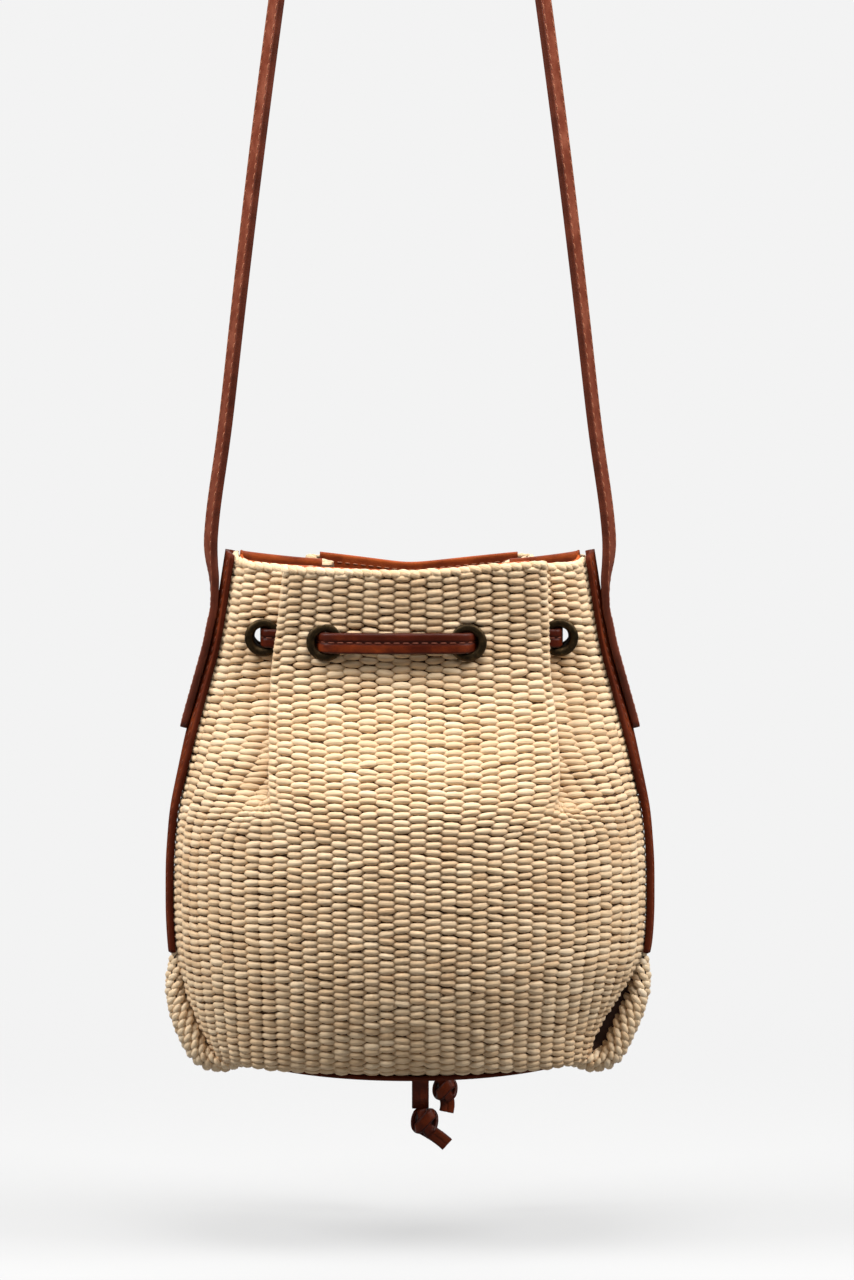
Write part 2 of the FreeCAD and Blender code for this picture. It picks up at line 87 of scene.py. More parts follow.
# ---------------------------------------------------------------- mesh helpers
def mesh_object(name, points, faces, material, attributes=None):
    """A smooth mesh from points in millimetres and a list of face index arrays."""
    mesh = bpy.data.meshes.new(name)
    points = np.asarray(points, float).reshape(-1, 3) * MM
    mesh.vertices.add(len(points))
    mesh.vertices.foreach_set("co", points.astype(np.float32).ravel())
    groups = [np.asarray(group, np.int32) for group in faces if len(group)]
    loops = np.concatenate([group.ravel() for group in groups])
    sizes = np.concatenate([np.full(len(group), group.shape[1]) for group in groups])
    starts = np.concatenate([[0], np.cumsum(sizes)[:-1]])
    mesh.loops.add(len(loops))
    mesh.loops.foreach_set("vertex_index", loops.astype(np.int32))
    mesh.polygons.add(len(sizes))
    mesh.polygons.foreach_set("loop_start", starts.astype(np.int32))
    mesh.polygons.foreach_set("use_smooth", np.ones(len(sizes), bool))
    mesh.update(calc_edges=True)
    for key, values in (attributes or {}).items():
        values = np.asarray(values, np.float32)
        kind = "FLOAT" if values.ndim == 1 else "FLOAT_VECTOR"
        layer = mesh.attributes.new(key, kind, "POINT")
        layer.data.foreach_set("value" if values.ndim == 1 else "vector", values.ravel())
    mesh.materials.append(material)
    item = bpy.data.objects.new(name, mesh)
    bpy.context.scene.collection.objects.link(item)
    return item


def tube_faces(rings, around):
    """Quads of a tube of rings, and the two polygons that close it."""
    ring, spot = np.meshgrid(np.arange(rings - 1), np.arange(around), indexing="ij")
    after = (spot + 1) % around
    low = ring * around
    quads = np.stack([low + spot, low + after, low + around + after, low + around + spot],
                     -1).reshape(-1, 4)
    start = np.arange(around)[::-1]
    end = (rings - 1) * around + np.arange(around)
    return quads, np.stack([start, end])


def ring_faces(rings, around):
    """Quads of a tube whose last ring meets its first."""
    ring, spot = np.meshgrid(np.arange(rings), np.arange(around), indexing="ij")
    after, ahead = (spot + 1) % around, (ring + 1) % rings
    return np.stack([ring * around + spot, ring * around + after, ahead * around + after,
                     ahead * around + spot], -1).reshape(-1, 4)


def repeated(points, faces, copies):
    """Face groups of several copies of a part with the same layout."""
    count = points.shape[1]
    shift = (np.arange(copies) * count)[:, None, None]
    return [(group[None] + shift).reshape(-1, group.shape[1]) for group in faces]


def unit(vectors):
    vectors = np.asarray(vectors, float)
    return vectors / np.maximum(np.linalg.norm(vectors, axis=-1, keepdims=True), 1e-9)


def smoothstep(value, low, high):
    share = np.clip((np.asarray(value, float) - low) / (high - low), 0, 1)
    return share * share * (3 - 2 * share)


def blurred(values, sigma, axis=0):
    """Gaussian blur with the ends held, in steps of the array."""
    reach = int(sigma * 3) + 1
    weights = np.exp(-0.5 * (np.arange(-reach, reach + 1) / sigma) ** 2)
    weights /= weights.sum()
    moved = np.moveaxis(np.asarray(values, float), axis, 0)
    first, last = moved[:1], moved[-1:]
    steps = np.arange(reach, 0, -1).reshape(-1, *([1] * (moved.ndim - 1)))
    head = first - steps * (moved[1:2] - first)
    tail = last + steps[::-1] * (last - moved[-2:-1])
    padded = np.concatenate([head, moved, tail])
    result = sum(w * padded[i:i + len(moved)] for i, w in enumerate(weights))
    return np.moveaxis(result, 0, axis)


def spline(points, steps=14):
    """Points along one smooth NURBS line with these control points, in millimetres."""
    curve = bpy.data.curves.new("route", "CURVE")
    curve.dimensions = "3D"
    line = curve.splines.new("NURBS")
    line.points.add(len(points) - 1)
    for spot, point in zip(line.points, points):
        spot.co = (point[0] * MM, point[1] * MM, point[2] * MM, 1)
    line.order_u = 3
    line.use_endpoint_u = True
    line.resolution_u = steps
    holder = bpy.data.objects.new("route", curve)
    bpy.context.scene.collection.objects.link(holder)
    bpy.context.view_layer.update()
    mesh = bpy.data.meshes.new_from_object(holder)
    found = np.array([vertex.co for vertex in mesh.vertices]) / MM
    bpy.data.objects.remove(holder)
    bpy.data.meshes.remove(mesh)
    return found


def along_line(spots, runs, values):
    """Values of a line's three columns at these places along it."""
    return np.stack([np.interp(spots, runs, values[:, k]) for k in range(3)], 1)


def evenly(points, pitch):
    """Points at equal steps along a line."""
    runs = np.concatenate([[0], np.cumsum(np.linalg.norm(np.diff(points, axis=0), axis=1))])
    spots = np.linspace(0, runs[-1], max(int(round(runs[-1] / pitch)), 2) + 1)
    return along_line(spots, runs, points)


def directions(points):
    return unit(np.gradient(points, axis=0))


# ---------------------------------------------------------------- materials
class Nodes:
    """Short ways to build one node tree."""

    def __init__(self, tree):
        self.tree = tree

    def put(self, value, socket):
        """Links an output to a socket, or sets the socket's own value."""
        if isinstance(value, bpy.types.NodeSocket):
            self.tree.links.new(value, socket)
        else:
            socket.default_value = value

    def add(self, kind, **inputs):
        node = self.tree.nodes.new(kind)
        for key, value in inputs.items():
            self.put(value, node.inputs[key])
        return node

    def maths(self, operation, *values):
        node = self.add("ShaderNodeMath")
        node.operation = operation
        for value, socket in zip(values, node.inputs):
            self.put(value, socket)
        return node.outputs[0]

    def scaled(self, value, factor, plus):
        return self.maths("MULTIPLY_ADD", value, factor, plus)


class Look(Nodes):
    """A new material, built round its Principled shader."""

    def __init__(self, name):
        self.material = bpy.data.materials.new(name)
        self.material.use_nodes = True
        super().__init__(self.material.node_tree)
        self.shader = self.tree.nodes["Principled BSDF"]
        self.place = self.add("ShaderNodeTexCoord").outputs["Object"]

    def noise(self, scale, detail=2.0, roughness=0.5, place=None):
        return self.add("ShaderNodeTexNoise", Scale=scale, Detail=detail, Roughness=roughness,
                        Vector=self.place if place is None else place).outputs["Fac"]

    def attribute(self, name, output="Fac"):
        node = self.add("ShaderNodeAttribute")
        node.attribute_name = name
        return node.outputs[output]

    def ramp(self, factor, stops):
        node = self.add("ShaderNodeValToRGB", Fac=factor)
        while len(node.color_ramp.elements) < len(stops):
            node.color_ramp.elements.new(0.5)
        for element, (place, colour) in zip(node.color_ramp.elements, stops):
            element.position, element.color = place, colour
        return node.outputs["Color"]

    def finish(self, inputs, height, distance, strength):
        """Feeds the shader's inputs and a bump of this height."""
        for key, value in inputs.items():
            self.put(value, self.shader.inputs[key])
        bump = self.add("ShaderNodeBump", Strength=strength, Distance=distance, Height=height)
        self.put(bump.outputs["Normal"], self.shader.inputs["Normal"])
        return self.material


def straw_material(name, tones, roughness=0.62):
    """Paper straw: fine fibres along each strand, each strand its own tone."""
    look = Look(name)
    streaks = look.noise(1.0, 3.0, 0.6, look.attribute("fibre", "Vector"))
    mixture = look.scaled(streaks, 0.55, look.attribute("tone"))
    mixture = look.maths("SUBTRACT", look.scaled(look.noise(38.0), 0.30, mixture), 0.42)
    return look.finish({"Base Color": look.ramp(mixture, tones),
                        "Roughness": look.scaled(streaks, 0.25, roughness - 0.12),
                        "Specular IOR Level": 0.35, "Sheen Weight": 0.12,
                        "Sheen Roughness": 0.4}, streaks, 0.00035, 0.8)


def leather_material(name, dark, mid, light, roughness=0.42, coat=0.15, shine=0.22):
    """Vegetable-tanned leather: pebble grain, cloudy dye, paler where shade is raised."""
    look = Look(name)
    clouds = look.noise(90.0, 4.0, 0.6)
    pebbles = look.add("ShaderNodeTexVoronoi", Scale=1500.0, Vector=look.place)
    pores = look.noise(2550.0)
    level = look.maths("ADD", look.scaled(clouds, 0.7, 0.12), look.attribute("shade"))
    level = look.scaled(pores, 0.16, level)
    return look.finish({"Base Color": look.ramp(level, [(0.0, dark), (0.5, mid), (1.0, light)]),
                        "Roughness": look.scaled(clouds, 0.25, roughness - 0.1),
                        "Specular IOR Level": shine, "Coat Weight": coat,
                        "Coat Roughness": 0.32},
                       look.maths("ADD", pebbles.outputs["Distance"], pores), 0.00012, 0.6)


def thread_material(name, colour, pale_ply):
    look = Look(name)
    # The colour runs from the base colour to the paler one across the bands of the ply.
    ply = look.add("ShaderNodeTexWave", Scale=900.0, Distortion=1.5,
                   Vector=look.place).outputs["Fac"]
    return look.finish({"Base Color": look.ramp(ply, [(0.0, colour), (1.0, pale_ply)]),
                        "Roughness": 0.7}, ply, 0.0002, 0.7)


def bronze_material(name):
    """Dark antique bronze, rubbed brighter in patches."""
    look = Look(name)
    patina, specks = look.noise(420.0, 5.0, 0.7), look.noise(2600.0)
    colour = look.ramp(look.scaled(specks, 0.4, patina),
                       [(0.45, rgb(30, 22, 12)), (0.8, rgb(66, 51, 30)), (1.0, rgb(112, 90, 56))])
    return look.finish({"Base Color": colour, "Metallic": 0.85,
                        "Roughness": look.scaled(patina, 0.3, 0.3)}, specks, 0.00012, 0.5)


def cloth_material(name, colour, pale, scale):
    """Plain woven cotton or fibre board."""
    look = Look(name)
    waves = []
    for way in "XZ":
        node = look.add("ShaderNodeTexWave", Scale=scale, Distortion=0.6, Vector=look.place)
        node.bands_direction = way
        waves.append(node.outputs["Fac"])
    level = look.scaled(look.noise(600.0, 4.0), 0.6, look.maths("MULTIPLY", *waves))
    return look.finish({"Base Color": look.ramp(level, [(0.2, colour), (0.9, pale)]),
                        "Roughness": 0.85, "Sheen Weight": 0.2}, level, 0.0003, 0.6)


STRAW = straw_material("woven_straw", [(0.0, rgb(178, 140, 100)), (0.35, rgb(214, 182, 142)),
                                       (0.65, rgb(232, 206, 170)), (1.0, rgb(247, 228, 202))])
# The straw core under the strands is much darker than the strands: painted shade in the gaps
# between them.
CORE_IN_PAINTED_SHADE = straw_material("core_in_painted_shade", [(0.0, rgb(74, 48, 22)), (0.5, rgb(122, 88, 48)),
                                           (1.0, rgb(160, 122, 74))], 0.75)
# The corner fold's core is nearly black: painted shade in the gap between the panel and the folded
# corner.
CORNER_GAP_PAINTED_SHADE = straw_material("shaded_fold", [(0.0, rgb(44, 20, 8)), (0.5, rgb(74, 42, 20)),
                                           (1.0, rgb(116, 76, 40))], 0.85)
FACING = leather_material("facing_leather", rgb(60, 20, 5), rgb(112, 42, 11), rgb(196, 92, 34),
                          0.5, 0.05)
TRIM = leather_material("trim_leather", rgb(40, 10, 2), rgb(84, 29, 8), rgb(146, 66, 26),
                        0.55, 0.0, 0.1)
STRAP = leather_material("strap_leather", rgb(48, 14, 4), rgb(106, 45, 24), rgb(164, 96, 70),
                         0.42, 0.3)
CORD = leather_material("cord_leather", rgb(30, 6, 1), rgb(74, 21, 3), rgb(166, 70, 22),
                        0.42, 0.0, 0.2)
BRONZE = bronze_material("antique_bronze")
LINING = cloth_material("cotton_lining", rgb(196, 180, 152), rgb(226, 214, 190), 700.0)
BOARD = cloth_material("base_board", rgb(150, 132, 104), rgb(182, 164, 134), 300.0)
THREAD = thread_material("brown_thread", rgb(124, 66, 40), rgb(176, 112, 78))
DARK_THREAD = thread_material("dark_thread", rgb(78, 26, 8), rgb(138, 66, 34))

HANDS = ((-1, "left"), (1, "right"))


def placed(piece, body, slot, *nodes):
    """Rides a piece on a body and hides the solids it stands for; the slot is not used."""
    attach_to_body(piece, body)
    if nodes:
        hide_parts(*nodes)
    return piece


# ---------------------------------------------------------------- the hanging tails
TAILS = {
    "left": {"x": 4.6, "length": 0.2176, "route": [
        (43.0, 52.5), (53.0, 78.0), (62.5, 107.0), (66.6, 140.0), (67.9, 179.0),
        (67.2, 222.0), (67.8, 266.5)], "knot": (6.6, 6.0, 12.0, 5.0, 10.4)},
    "right": {"x": 15.4, "length": 0.2046, "route": [
        (43.0, 52.5), (53.4, 78.0), (63.4, 106.0), (68.2, 138.0), (70.1, 174.0),
        (70.2, 212.0), (71.4, 253.0)], "knot": (16.0, 5.4, 10.2, 5.6, 0.6)},
}
TAIL_WIDTH, TAIL_THICKNESS = 7.8, 2.4


def band_section(width, thickness, grooves=(), depth=0.35, around=14):
    """Outline of a flat leather band: across, through and shade, with stitched grooves."""
    half, rise = width / 2, thickness / 2
    soft = min(rise, 0.9)
    points = []
    for index in range(around):
        across = -half + soft + (width - 2 * soft) * index / (around - 1)
        dip = sum(depth * math.exp(-((across - g) / 0.55) ** 2) for g in grooves)
        points.append((across, rise - dip, 0.0))
    for index in range(1, 6):
        angle = math.pi / 2 - math.pi * index / 6
        points.append((half - soft + soft * math.cos(angle), rise * math.sin(angle), -0.18))
    for index in range(around):
        across = half - soft - (width - 2 * soft) * index / (around - 1)
        points.append((across, -rise, -0.05))
    for index in range(1, 6):
        angle = -math.pi / 2 - math.pi * index / 6
        points.append((-half + soft + soft * math.cos(angle), rise * math.sin(angle), -0.18))
    return np.array(points)


def sweep(name, centres, wide, face, section, material, tint=None):
    """A closed section carried along a line; wide and face are its two directions."""
    centres, wide, face = (np.asarray(values, float) for values in (centres, wide, face))
    points = (centres[:, None] + wide[:, None] * section[None, :, :1]
              + face[:, None] * section[None, :, 1:2])
    quads, caps = tube_faces(len(centres), len(section))
    shade = np.tile(section[:, 2], len(centres))
    if tint is not None:
        shade = shade + np.repeat(tint, len(section))
    return mesh_object(name, points, [quads, caps], material, {"shade": shade})


def stitches(name, line, face, material, pitch=4.2, length=3.0, radius=0.38, sink=0.15):
    """Short raised threads along a line; face points out of the leather there."""
    spots = evenly(line, 0.25)
    way = directions(spots)
    runs = np.arange(len(spots)) * np.linalg.norm(spots[1] - spots[0])
    normals = along_line(np.linspace(0, 1, len(spots)), np.linspace(0, 1, len(face)),
                         np.asarray(face))
    count = int(runs[-1] // pitch)
    rings, around = 6, 6
    share = np.linspace(-1, 1, rings)
    quads, caps = tube_faces(rings, around)
    parts = []
    for index in range(count):
        middle = (index + 0.5) * pitch + (runs[-1] - count * pitch) / 2
        along = middle + share * length / 2
        centre = along_line(along, runs, spots)
        side = unit(along_line(along, runs, way))
        up = unit(along_line(along, runs, normals))
        right = unit(np.cross(side, up))
        centre = centre + up * (radius * 0.7 - sink - 0.9 * radius * np.abs(share) ** 3)[:, None]
        size = radius * (1 - 0.55 * np.abs(share) ** 4)
        angle = np.arange(around) / around * 2 * math.pi
        ring = (centre[:, None] + size[:, None, None]
                * (up[:, None] * np.sin(angle)[None, :, None]
                   - right[:, None] * np.cos(angle)[None, :, None]))
        parts.append(ring.reshape(-1, 3))
    parts = np.array(parts)
    return mesh_object(name, parts, repeated(parts, [quads, caps], count), material)


def knot(name, centre, radius, height, material, axis=(0, 0, 1), strand=3.3):
    """An overhand knot of a narrow leather band, pulled tight."""
    count = 150
    turn = np.linspace(0, 2 * math.pi, count, endpoint=False)
    line = np.stack([np.sin(turn) + 2 * np.sin(2 * turn), np.cos(turn) - 2 * np.cos(2 * turn),
                     -np.sin(3 * turn)], 1) / 3.0
    line *= np.array([radius - 1.5, radius - 1.5, height / 2 - 0.9]) * np.array([1, 1, 0.85 * 3])
    way = unit(np.roll(line, -1, 0) - np.roll(line, 1, 0))
    outward = unit(line * np.array([1.0, 1.0, 0.5]) + np.array([1e-3, 0, 0]))
    wide = unit(np.cross(way, outward))
    outward = unit(np.cross(wide, way))
    section = band_section(strand * 1.55, 2.0, around=6)
    rotation = Vector((0, 0, 1)).rotation_difference(Vector(axis)).to_matrix()
    points = (line[:, None] + wide[:, None] * section[None, :, :1]
              + outward[:, None] * section[None, :, 1:2]).reshape(-1, 3)
    points = points @ np.array(rotation).T + np.asarray(centre)
    return mesh_object(name, points, [ring_faces(count, len(section))], material,
                       {"shade": np.tile(section[:, 2] * 0.8, count)})


TAIL_SECTION = band_section(TAIL_WIDTH, TAIL_THICKNESS, (0.0,), 0.4)
TAIL_SECTION[:, 2] += np.where(TAIL_SECTION[:, 0] > 0, 0.1, -0.02)
for hand, data in TAILS.items():
    route = [(data["x"], y, RIM_Z - depth) for y, depth in data["route"]]
    line = spline(route)
    way = directions(line)
    wide = np.tile([1.0, 0.0, 0.0], (len(line), 1))
    face = unit(np.cross(way, wide))
    face *= np.sign(face[:, 1:2])
    tail = sweep(hand + "_tail_band", line, wide, face, TAIL_SECTION, CORD)
    placed(tail, hand + "_tail", "cord_leather", hand + "_tail")
    thread = stitches(hand + "_tail_stitches", line + face * TAIL_THICKNESS / 2, face,
                      DARK_THREAD)
    placed(thread, hand + "_tail", "cord_leather")
    knot_x, radius, height, stub, lean = data["knot"]
    end = line[-1]
    centre = (knot_x, end[1], end[2] - height / 2)
    ball = knot(hand + "_tail_knot_wrap", centre, radius + 0.8, height, CORD,
                axis=(0.35, 0.2, 1.0))
    foot = np.array([knot_x - lean * 0.1, end[1], end[2] - height + 3.0])
    tip = np.array([knot_x + lean, end[1], end[2] - height - stub])
    stub_line = np.linspace(foot, tip, 12)
    stub_line[:, 0] += np.sin(np.linspace(0, math.pi, 12)) * 0.8
    stub_way = directions(stub_line)
    stub_face = np.tile([0.0, -1.0, 0.0], (12, 1))
    stub_piece = sweep(hand + "_tail_stub", stub_line, unit(np.cross(stub_face, stub_way)),
                       stub_face, TAIL_SECTION * np.array([0.86, 0.9, 1]), CORD,
                       np.linspace(0, 0.12, 12))
    placed(ball, hand + "_tail", "cord_leather", hand + "_tail_knot")
    placed(stub_piece, hand + "_tail", "cord_leather")

# ---------------------------------------------------------------- the shape of the bag
SIDE_END = 183.0  # foot of the side strips, where the corners fold
BELLY = {"front": 60.0, "back": 58.0}
OUTWARD = {"front": -1, "back": 1}
FOLDS = {
    "front": {"bulge": 29.0, -1: (59.5, 25.0, 38.0, 11.5), 1: (61.5, 25.0, 38.0, 11.5),
              "wing": 11.0, "flare": 4.6, "dip": (0.0, 3.2, 6.8, 3.5, 5.7, 0.8, 5.7, 4.2, 0.0)},
    "back": {"bulge": 34.0, -1: (46.0, 30.0, 35.5, 7.5), 1: (55.0, 30.0, 41.5, 7.5),
             "wing": 9.5, "flare": 0.0, "dip": (0.0, 0.9, 5.9, 3.5, 9.9, 3.5, 5.9, 0.9, 0.0)},
}
OUTER_FOLD, INNER_FOLD, SEAM = 61.0, 87.0, 138.0
FOLD_THICKNESS = 6.8
# Row, depth, half width on the left and right, share of the belly.
PROFILE = [
    (-3, -3, 79.5, 79.5, 1.0), (0, 0, 80.0, 80.0, 1.0), (40, 40, 86.3, 86.3, 1.0),
    (81, 81, 97.8, 97.8, 1.0), (117, 117, 105.4, 105.4, 1.0), (140, 140, 107.2, 107.2, 1.02),
    (165, 165, 107.3, 107.3, 1.01), (183, 183, 106.2, 106.0, 0.985),
    (200, 200, 102.5, 97.0, 0.94), (212, 212, 98.0, 88.5, 0.89), (222, 222, 93.5, 84.0, 0.84),
    (229, 228.5, 90.0, 83.0, 0.80), (234, 231.8, 87.5, 82.0, 0.765),
    (239, 232.4, 82.0, 77.5, 0.69), (248, 230.8, 72.0, 70.0, 0.55),
]
EDGE_X = {
    ("front", -1): [(0, 57.5), (30, 60.5), (47, 63), (66, 64), (107, 64), (130, 61)],
    ("front", 1): [(0, 62), (30, 63.3), (53, 64), (75, 67), (90, 68), (110, 68), (130, 62)],
    ("back", -1): [(0, 47.5), (30, 51), (60, 57), (107, 63), (130, 61)],
    ("back", 1): [(0, 56.5), (30, 58), (60, 61), (107, 64), (130, 61)],
}
# Depths between which the pleats flatten, the lip spreads and the side sections untuck.
FLATTEN, SPREAD, UNTUCK = (47, 117), (100, 135), (70, 128)
WING_POWER_X, WING_POWER_Y = 1.7, 3.5  # how sharply a side section curves in to its fold
FLARE_DEPTH = 36
ROWS = np.arange(-3.0, 248.01, 1.0)
ACROSS = np.arange(-SEAM, SEAM + 0.01, 1.0)


def column(index):
    table = np.array(PROFILE)
    return blurred(np.interp(ROWS, table[:, 0], table[:, index]), 4.0)


DEPTH = column(1)
HALF_WIDTH = {-1: column(2), 1: column(3)}
SHARE = column(4)


def quarter_arc(half_width, belly):
    """How far points of a quarter ellipse stand from its middle, and their arc length."""
    angle = np.linspace(0, math.pi / 2, 500)
    x, y = half_width * np.sin(angle), belly * np.cos(angle)
    return x, np.concatenate([[0], np.cumsum(np.hypot(np.diff(x), np.diff(y)))])


class Wall:
    """Outer surface of the front or the back, from its left seam to its right seam."""

    def __init__(self, name):
        self.name = name
        self.side = OUTWARD[name]
        folds = FOLDS[name]
        shape = (len(ROWS), len(ACROSS))
        x, y = np.zeros(shape), np.zeros(shape)
        self.valid = np.ones(shape, bool)
        middle = int(SEAM)
        for hand in (-1, 1):
            reach = np.arange(0, middle + 1)
            columns = middle + hand * reach
            edge_x, edge_y, inner_x, inner_y = folds[hand]
            table = np.array(EDGE_X[(name, hand)])
            fixed_scale = None
            for row, depth in enumerate(ROWS):
                half_width = HALF_WIDTH[hand][row]
                belly = BELLY[name] * SHARE[row]
                arc_x, run = quarter_arc(half_width, belly)
                scale = run[-1] / SEAM
                if depth > SIDE_END:
                    fixed_scale = fixed_scale or scale
                    scale = fixed_scale
                along = reach * scale
                open_x = np.interp(along, run, arc_x)
                self.valid[row, columns] = along <= run[-1] + 0.1
                fold = 1 - smoothstep(depth, *FLATTEN)
                opened = smoothstep(depth, *SPREAD)
                spread = 1 - opened
                tuck = 1 - smoothstep(depth, *UNTUCK)
                folded_x = np.interp(depth, table[:, 0], table[:, 1]) * reach / OUTER_FOLD
                share = np.clip((SEAM - reach) / (SEAM - INNER_FOLD), 0, 1)
                wing_x = half_width - (half_width - inner_x) * share ** WING_POWER_X
                wing_y = (folds["wing"] * (1 - (1 - share) ** WING_POWER_Y)
                          + (inner_y - folds["wing"]) * share)
                lip_x = spread * folded_x + (1 - spread) * open_x
                side_x = tuck * wing_x + (1 - tuck) * open_x
                ellipse = lambda value: belly * np.sqrt(
                    np.maximum(1 - (value / half_width) ** 2, 0))
                lip_y = edge_y + (folds["bulge"] - edge_y) * (1 - (reach / OUTER_FOLD) ** 2)
                lip_y = lip_y + folds["flare"] * max(1 - abs(depth) / FLARE_DEPTH, 0)
                lip_y = fold * lip_y + (1 - fold) * ellipse(lip_x)
                side_y = fold * wing_y + (1 - fold) * ellipse(side_x)
                overlap = lip_x[int(OUTER_FOLD)] - side_x[int(INNER_FOLD)]
                push = FOLD_THICKNESS * float(smoothstep(overlap, -7, 5))
                excess = side_y[int(INNER_FOLD)] - (lip_y[int(OUTER_FOLD)] - push - 0.6)
                side_y = side_y - max(excess, 0.0) * smoothstep(overlap, -9, -1) * share ** 3
                web = np.clip((reach - OUTER_FOLD - push) / (INNER_FOLD - OUTER_FOLD - push), 0, 1)
                turn = np.clip(reach - OUTER_FOLD, 0, push)
                lip, inner = int(OUTER_FOLD), int(INNER_FOLD)
                row_x = np.where(reach <= lip, lip_x, side_x)
                row_y = np.where(reach <= lip, lip_y, side_y)
                between = (reach > lip) & (reach < inner)
                web_x = lip_x[lip] + (side_x[inner] - lip_x[lip]) * web
                web_y = lip_y[lip] - turn + (side_y[inner] - lip_y[lip] + push) * web
                flat = 1 - fold
                web_x = web_x + flat * opened * (open_x - web_x)
                web_y = np.where(flat > 0, web_y + opened * (ellipse(web_x) - web_y), web_y)
                row_x = np.where(between, web_x, row_x)
                row_y = np.where(between, web_y, row_y)
                x[row, columns] = hand * row_x
                y[row, columns] = row_y
        soft = 2.6
        rounded_x, rounded_y = blurred(x, soft, 1), blurred(y, soft, 1)
        keep = smoothstep(np.abs(ACROSS), SEAM - 12, SEAM - 4)
        x = rounded_x * (1 - keep) + x * keep
        y = rounded_y * (1 - keep) + y * keep
        x, y = blurred(x, 3.0, 0), blurred(y, 3.0, 0)
        spots = [SEAM, SEAM - 8, INNER_FOLD, OUTER_FOLD, 0]
        dips = np.interp(ACROSS, [-v for v in spots] + spots[3::-1], folds["dip"])
        dips = blurred(dips, 6.0)
        drop = DEPTH[:, None] + dips[None] * np.exp(-np.maximum(ROWS, 0) / 60)[:, None]
        self.points = np.stack([x, self.side * y, RIM_Z - drop], -1)
        by_row = np.gradient(self.points, axis=0)
        by_column = np.gradient(self.points, axis=1)
        self.normals = unit(np.cross(by_column, by_row)) * self.side
        self.normals = unit(blurred(self.normals, 1.5, 1))
        self.runs = np.concatenate([np.zeros((1, len(ACROSS))), np.cumsum(
            np.linalg.norm(np.diff(self.points, axis=0), axis=2), axis=0)])

    def sample(self, grid, across, row):
        column = np.clip(across + SEAM, 0, len(ACROSS) - 1.001)
        line = np.clip(row - ROWS[0], 0, len(ROWS) - 1.001)
        i, j = line.astype(int), column.astype(int)
        a, b = (line - i)[..., None], (column - j)[..., None]
        if grid.ndim == 2:
            a, b = a[..., 0], b[..., 0]
        return ((1 - a) * ((1 - b) * grid[i, j] + b * grid[i, j + 1])
                + a * ((1 - b) * grid[i + 1, j] + b * grid[i + 1, j + 1]))

    def at(self, across, row, height):
        """Points that stand height outside the surface."""
        across, row, height = np.broadcast_arrays(
            *(np.asarray(value, float) for value in (across, row, height)))
        normal = unit(self.sample(self.normals, across, row))
        return self.sample(self.points, across, row) + normal * height[..., None]


walls = {name: Wall(name) for name in ("front", "back")}

# ---------------------------------------------------------------- holes for the drawstring
STRING_DEPTH = 37.5
LIP_HOLES = {"front": (-37.8, 25.9), "back": (-24.0, 33.0)}
SIDE_HOLES = (-65.7, 67.1)
# Cut edge round an eyelet, the part that no face crosses, and how far a hole reaches.
HOLE_RADIUS, OPEN_RADIUS, HOLE_REACH = 5.25, 4.9, 7.0


def hole_frame(name, x, kind):
    """Centre on the outer surface and outward normal of a hole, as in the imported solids."""
    folds, side = FOLDS[name], OUTWARD[name]
    hand = -1 if x < 0 else 1
    edge_x, edge_y, inner_x, inner_y = folds[hand]
    half_width = np.interp(STRING_DEPTH, [0, 40], [80, 86.3])

    def place(value):
        if kind == "lip":
            return value * edge_x, edge_y + (folds["bulge"] - edge_y) * (1 - value * value)
        return (hand * (half_width - (half_width - inner_x) * value ** WING_POWER_X),
                folds["wing"] * (1 - (1 - value) ** WING_POWER_Y)
                + (inner_y - folds["wing"]) * value)

    if kind == "lip":
        value = x / edge_x
    else:
        value = ((half_width - abs(x)) / (half_width - inner_x)) ** (1 / WING_POWER_X)
    (x0, y0), (x1, y1), (x2, y2) = place(value), place(value - 0.01), place(value + 0.01)
    normal = unit([y2 - y1, -(x2 - x1), 0])
    normal *= np.sign(normal[1])
    centre = np.array([x0, side * y0, RIM_Z - STRING_DEPTH])
    return centre, normal * np.array([1, side, 1])


holes = {(name, kind): [hole_frame(name, x, kind) for x in spots]
         for name in walls for kind, spots in (("lip", LIP_HOLES[name]), ("side", SIDE_HOLES))}


def clear_of_holes(points, name, radius=HOLE_RADIUS):
    """Points pushed out of the eyelets of a wall, and which of them were inside."""
    inside = np.zeros(points.shape[:-1], bool)
    for kind in ("lip", "side"):
        for centre, normal in holes[(name, kind)]:
            away = points - centre
            height = away @ normal
            flat = away - height[..., None] * normal
            distance = np.linalg.norm(flat, axis=-1)
            near = (distance < radius) & (np.abs(height) < HOLE_REACH)
            pushed = centre + height[..., None] * normal \
                + flat * (radius / np.maximum(distance, 0.05))[..., None]
            points = np.where(near[..., None], pushed, points)
            inside |= near
    return points, inside


def off_the_holes(points, groups, name):
    """The faces that don't lie across an eyelet."""
    return [group[~clear_of_holes(points[group].mean(axis=1), name, OPEN_RADIUS)[1]]
            for group in groups]


# ---------------------------------------------------------------- woven straw
COLUMN_COUNT, COLUMN_PITCH, ROW_PITCH = 38, 7.18, 3.45
BEAD_STATIONS = np.array([-1.0, -0.76, -0.42, 0.0, 0.42, 0.76, 1.0])
BEAD_AROUND = 8


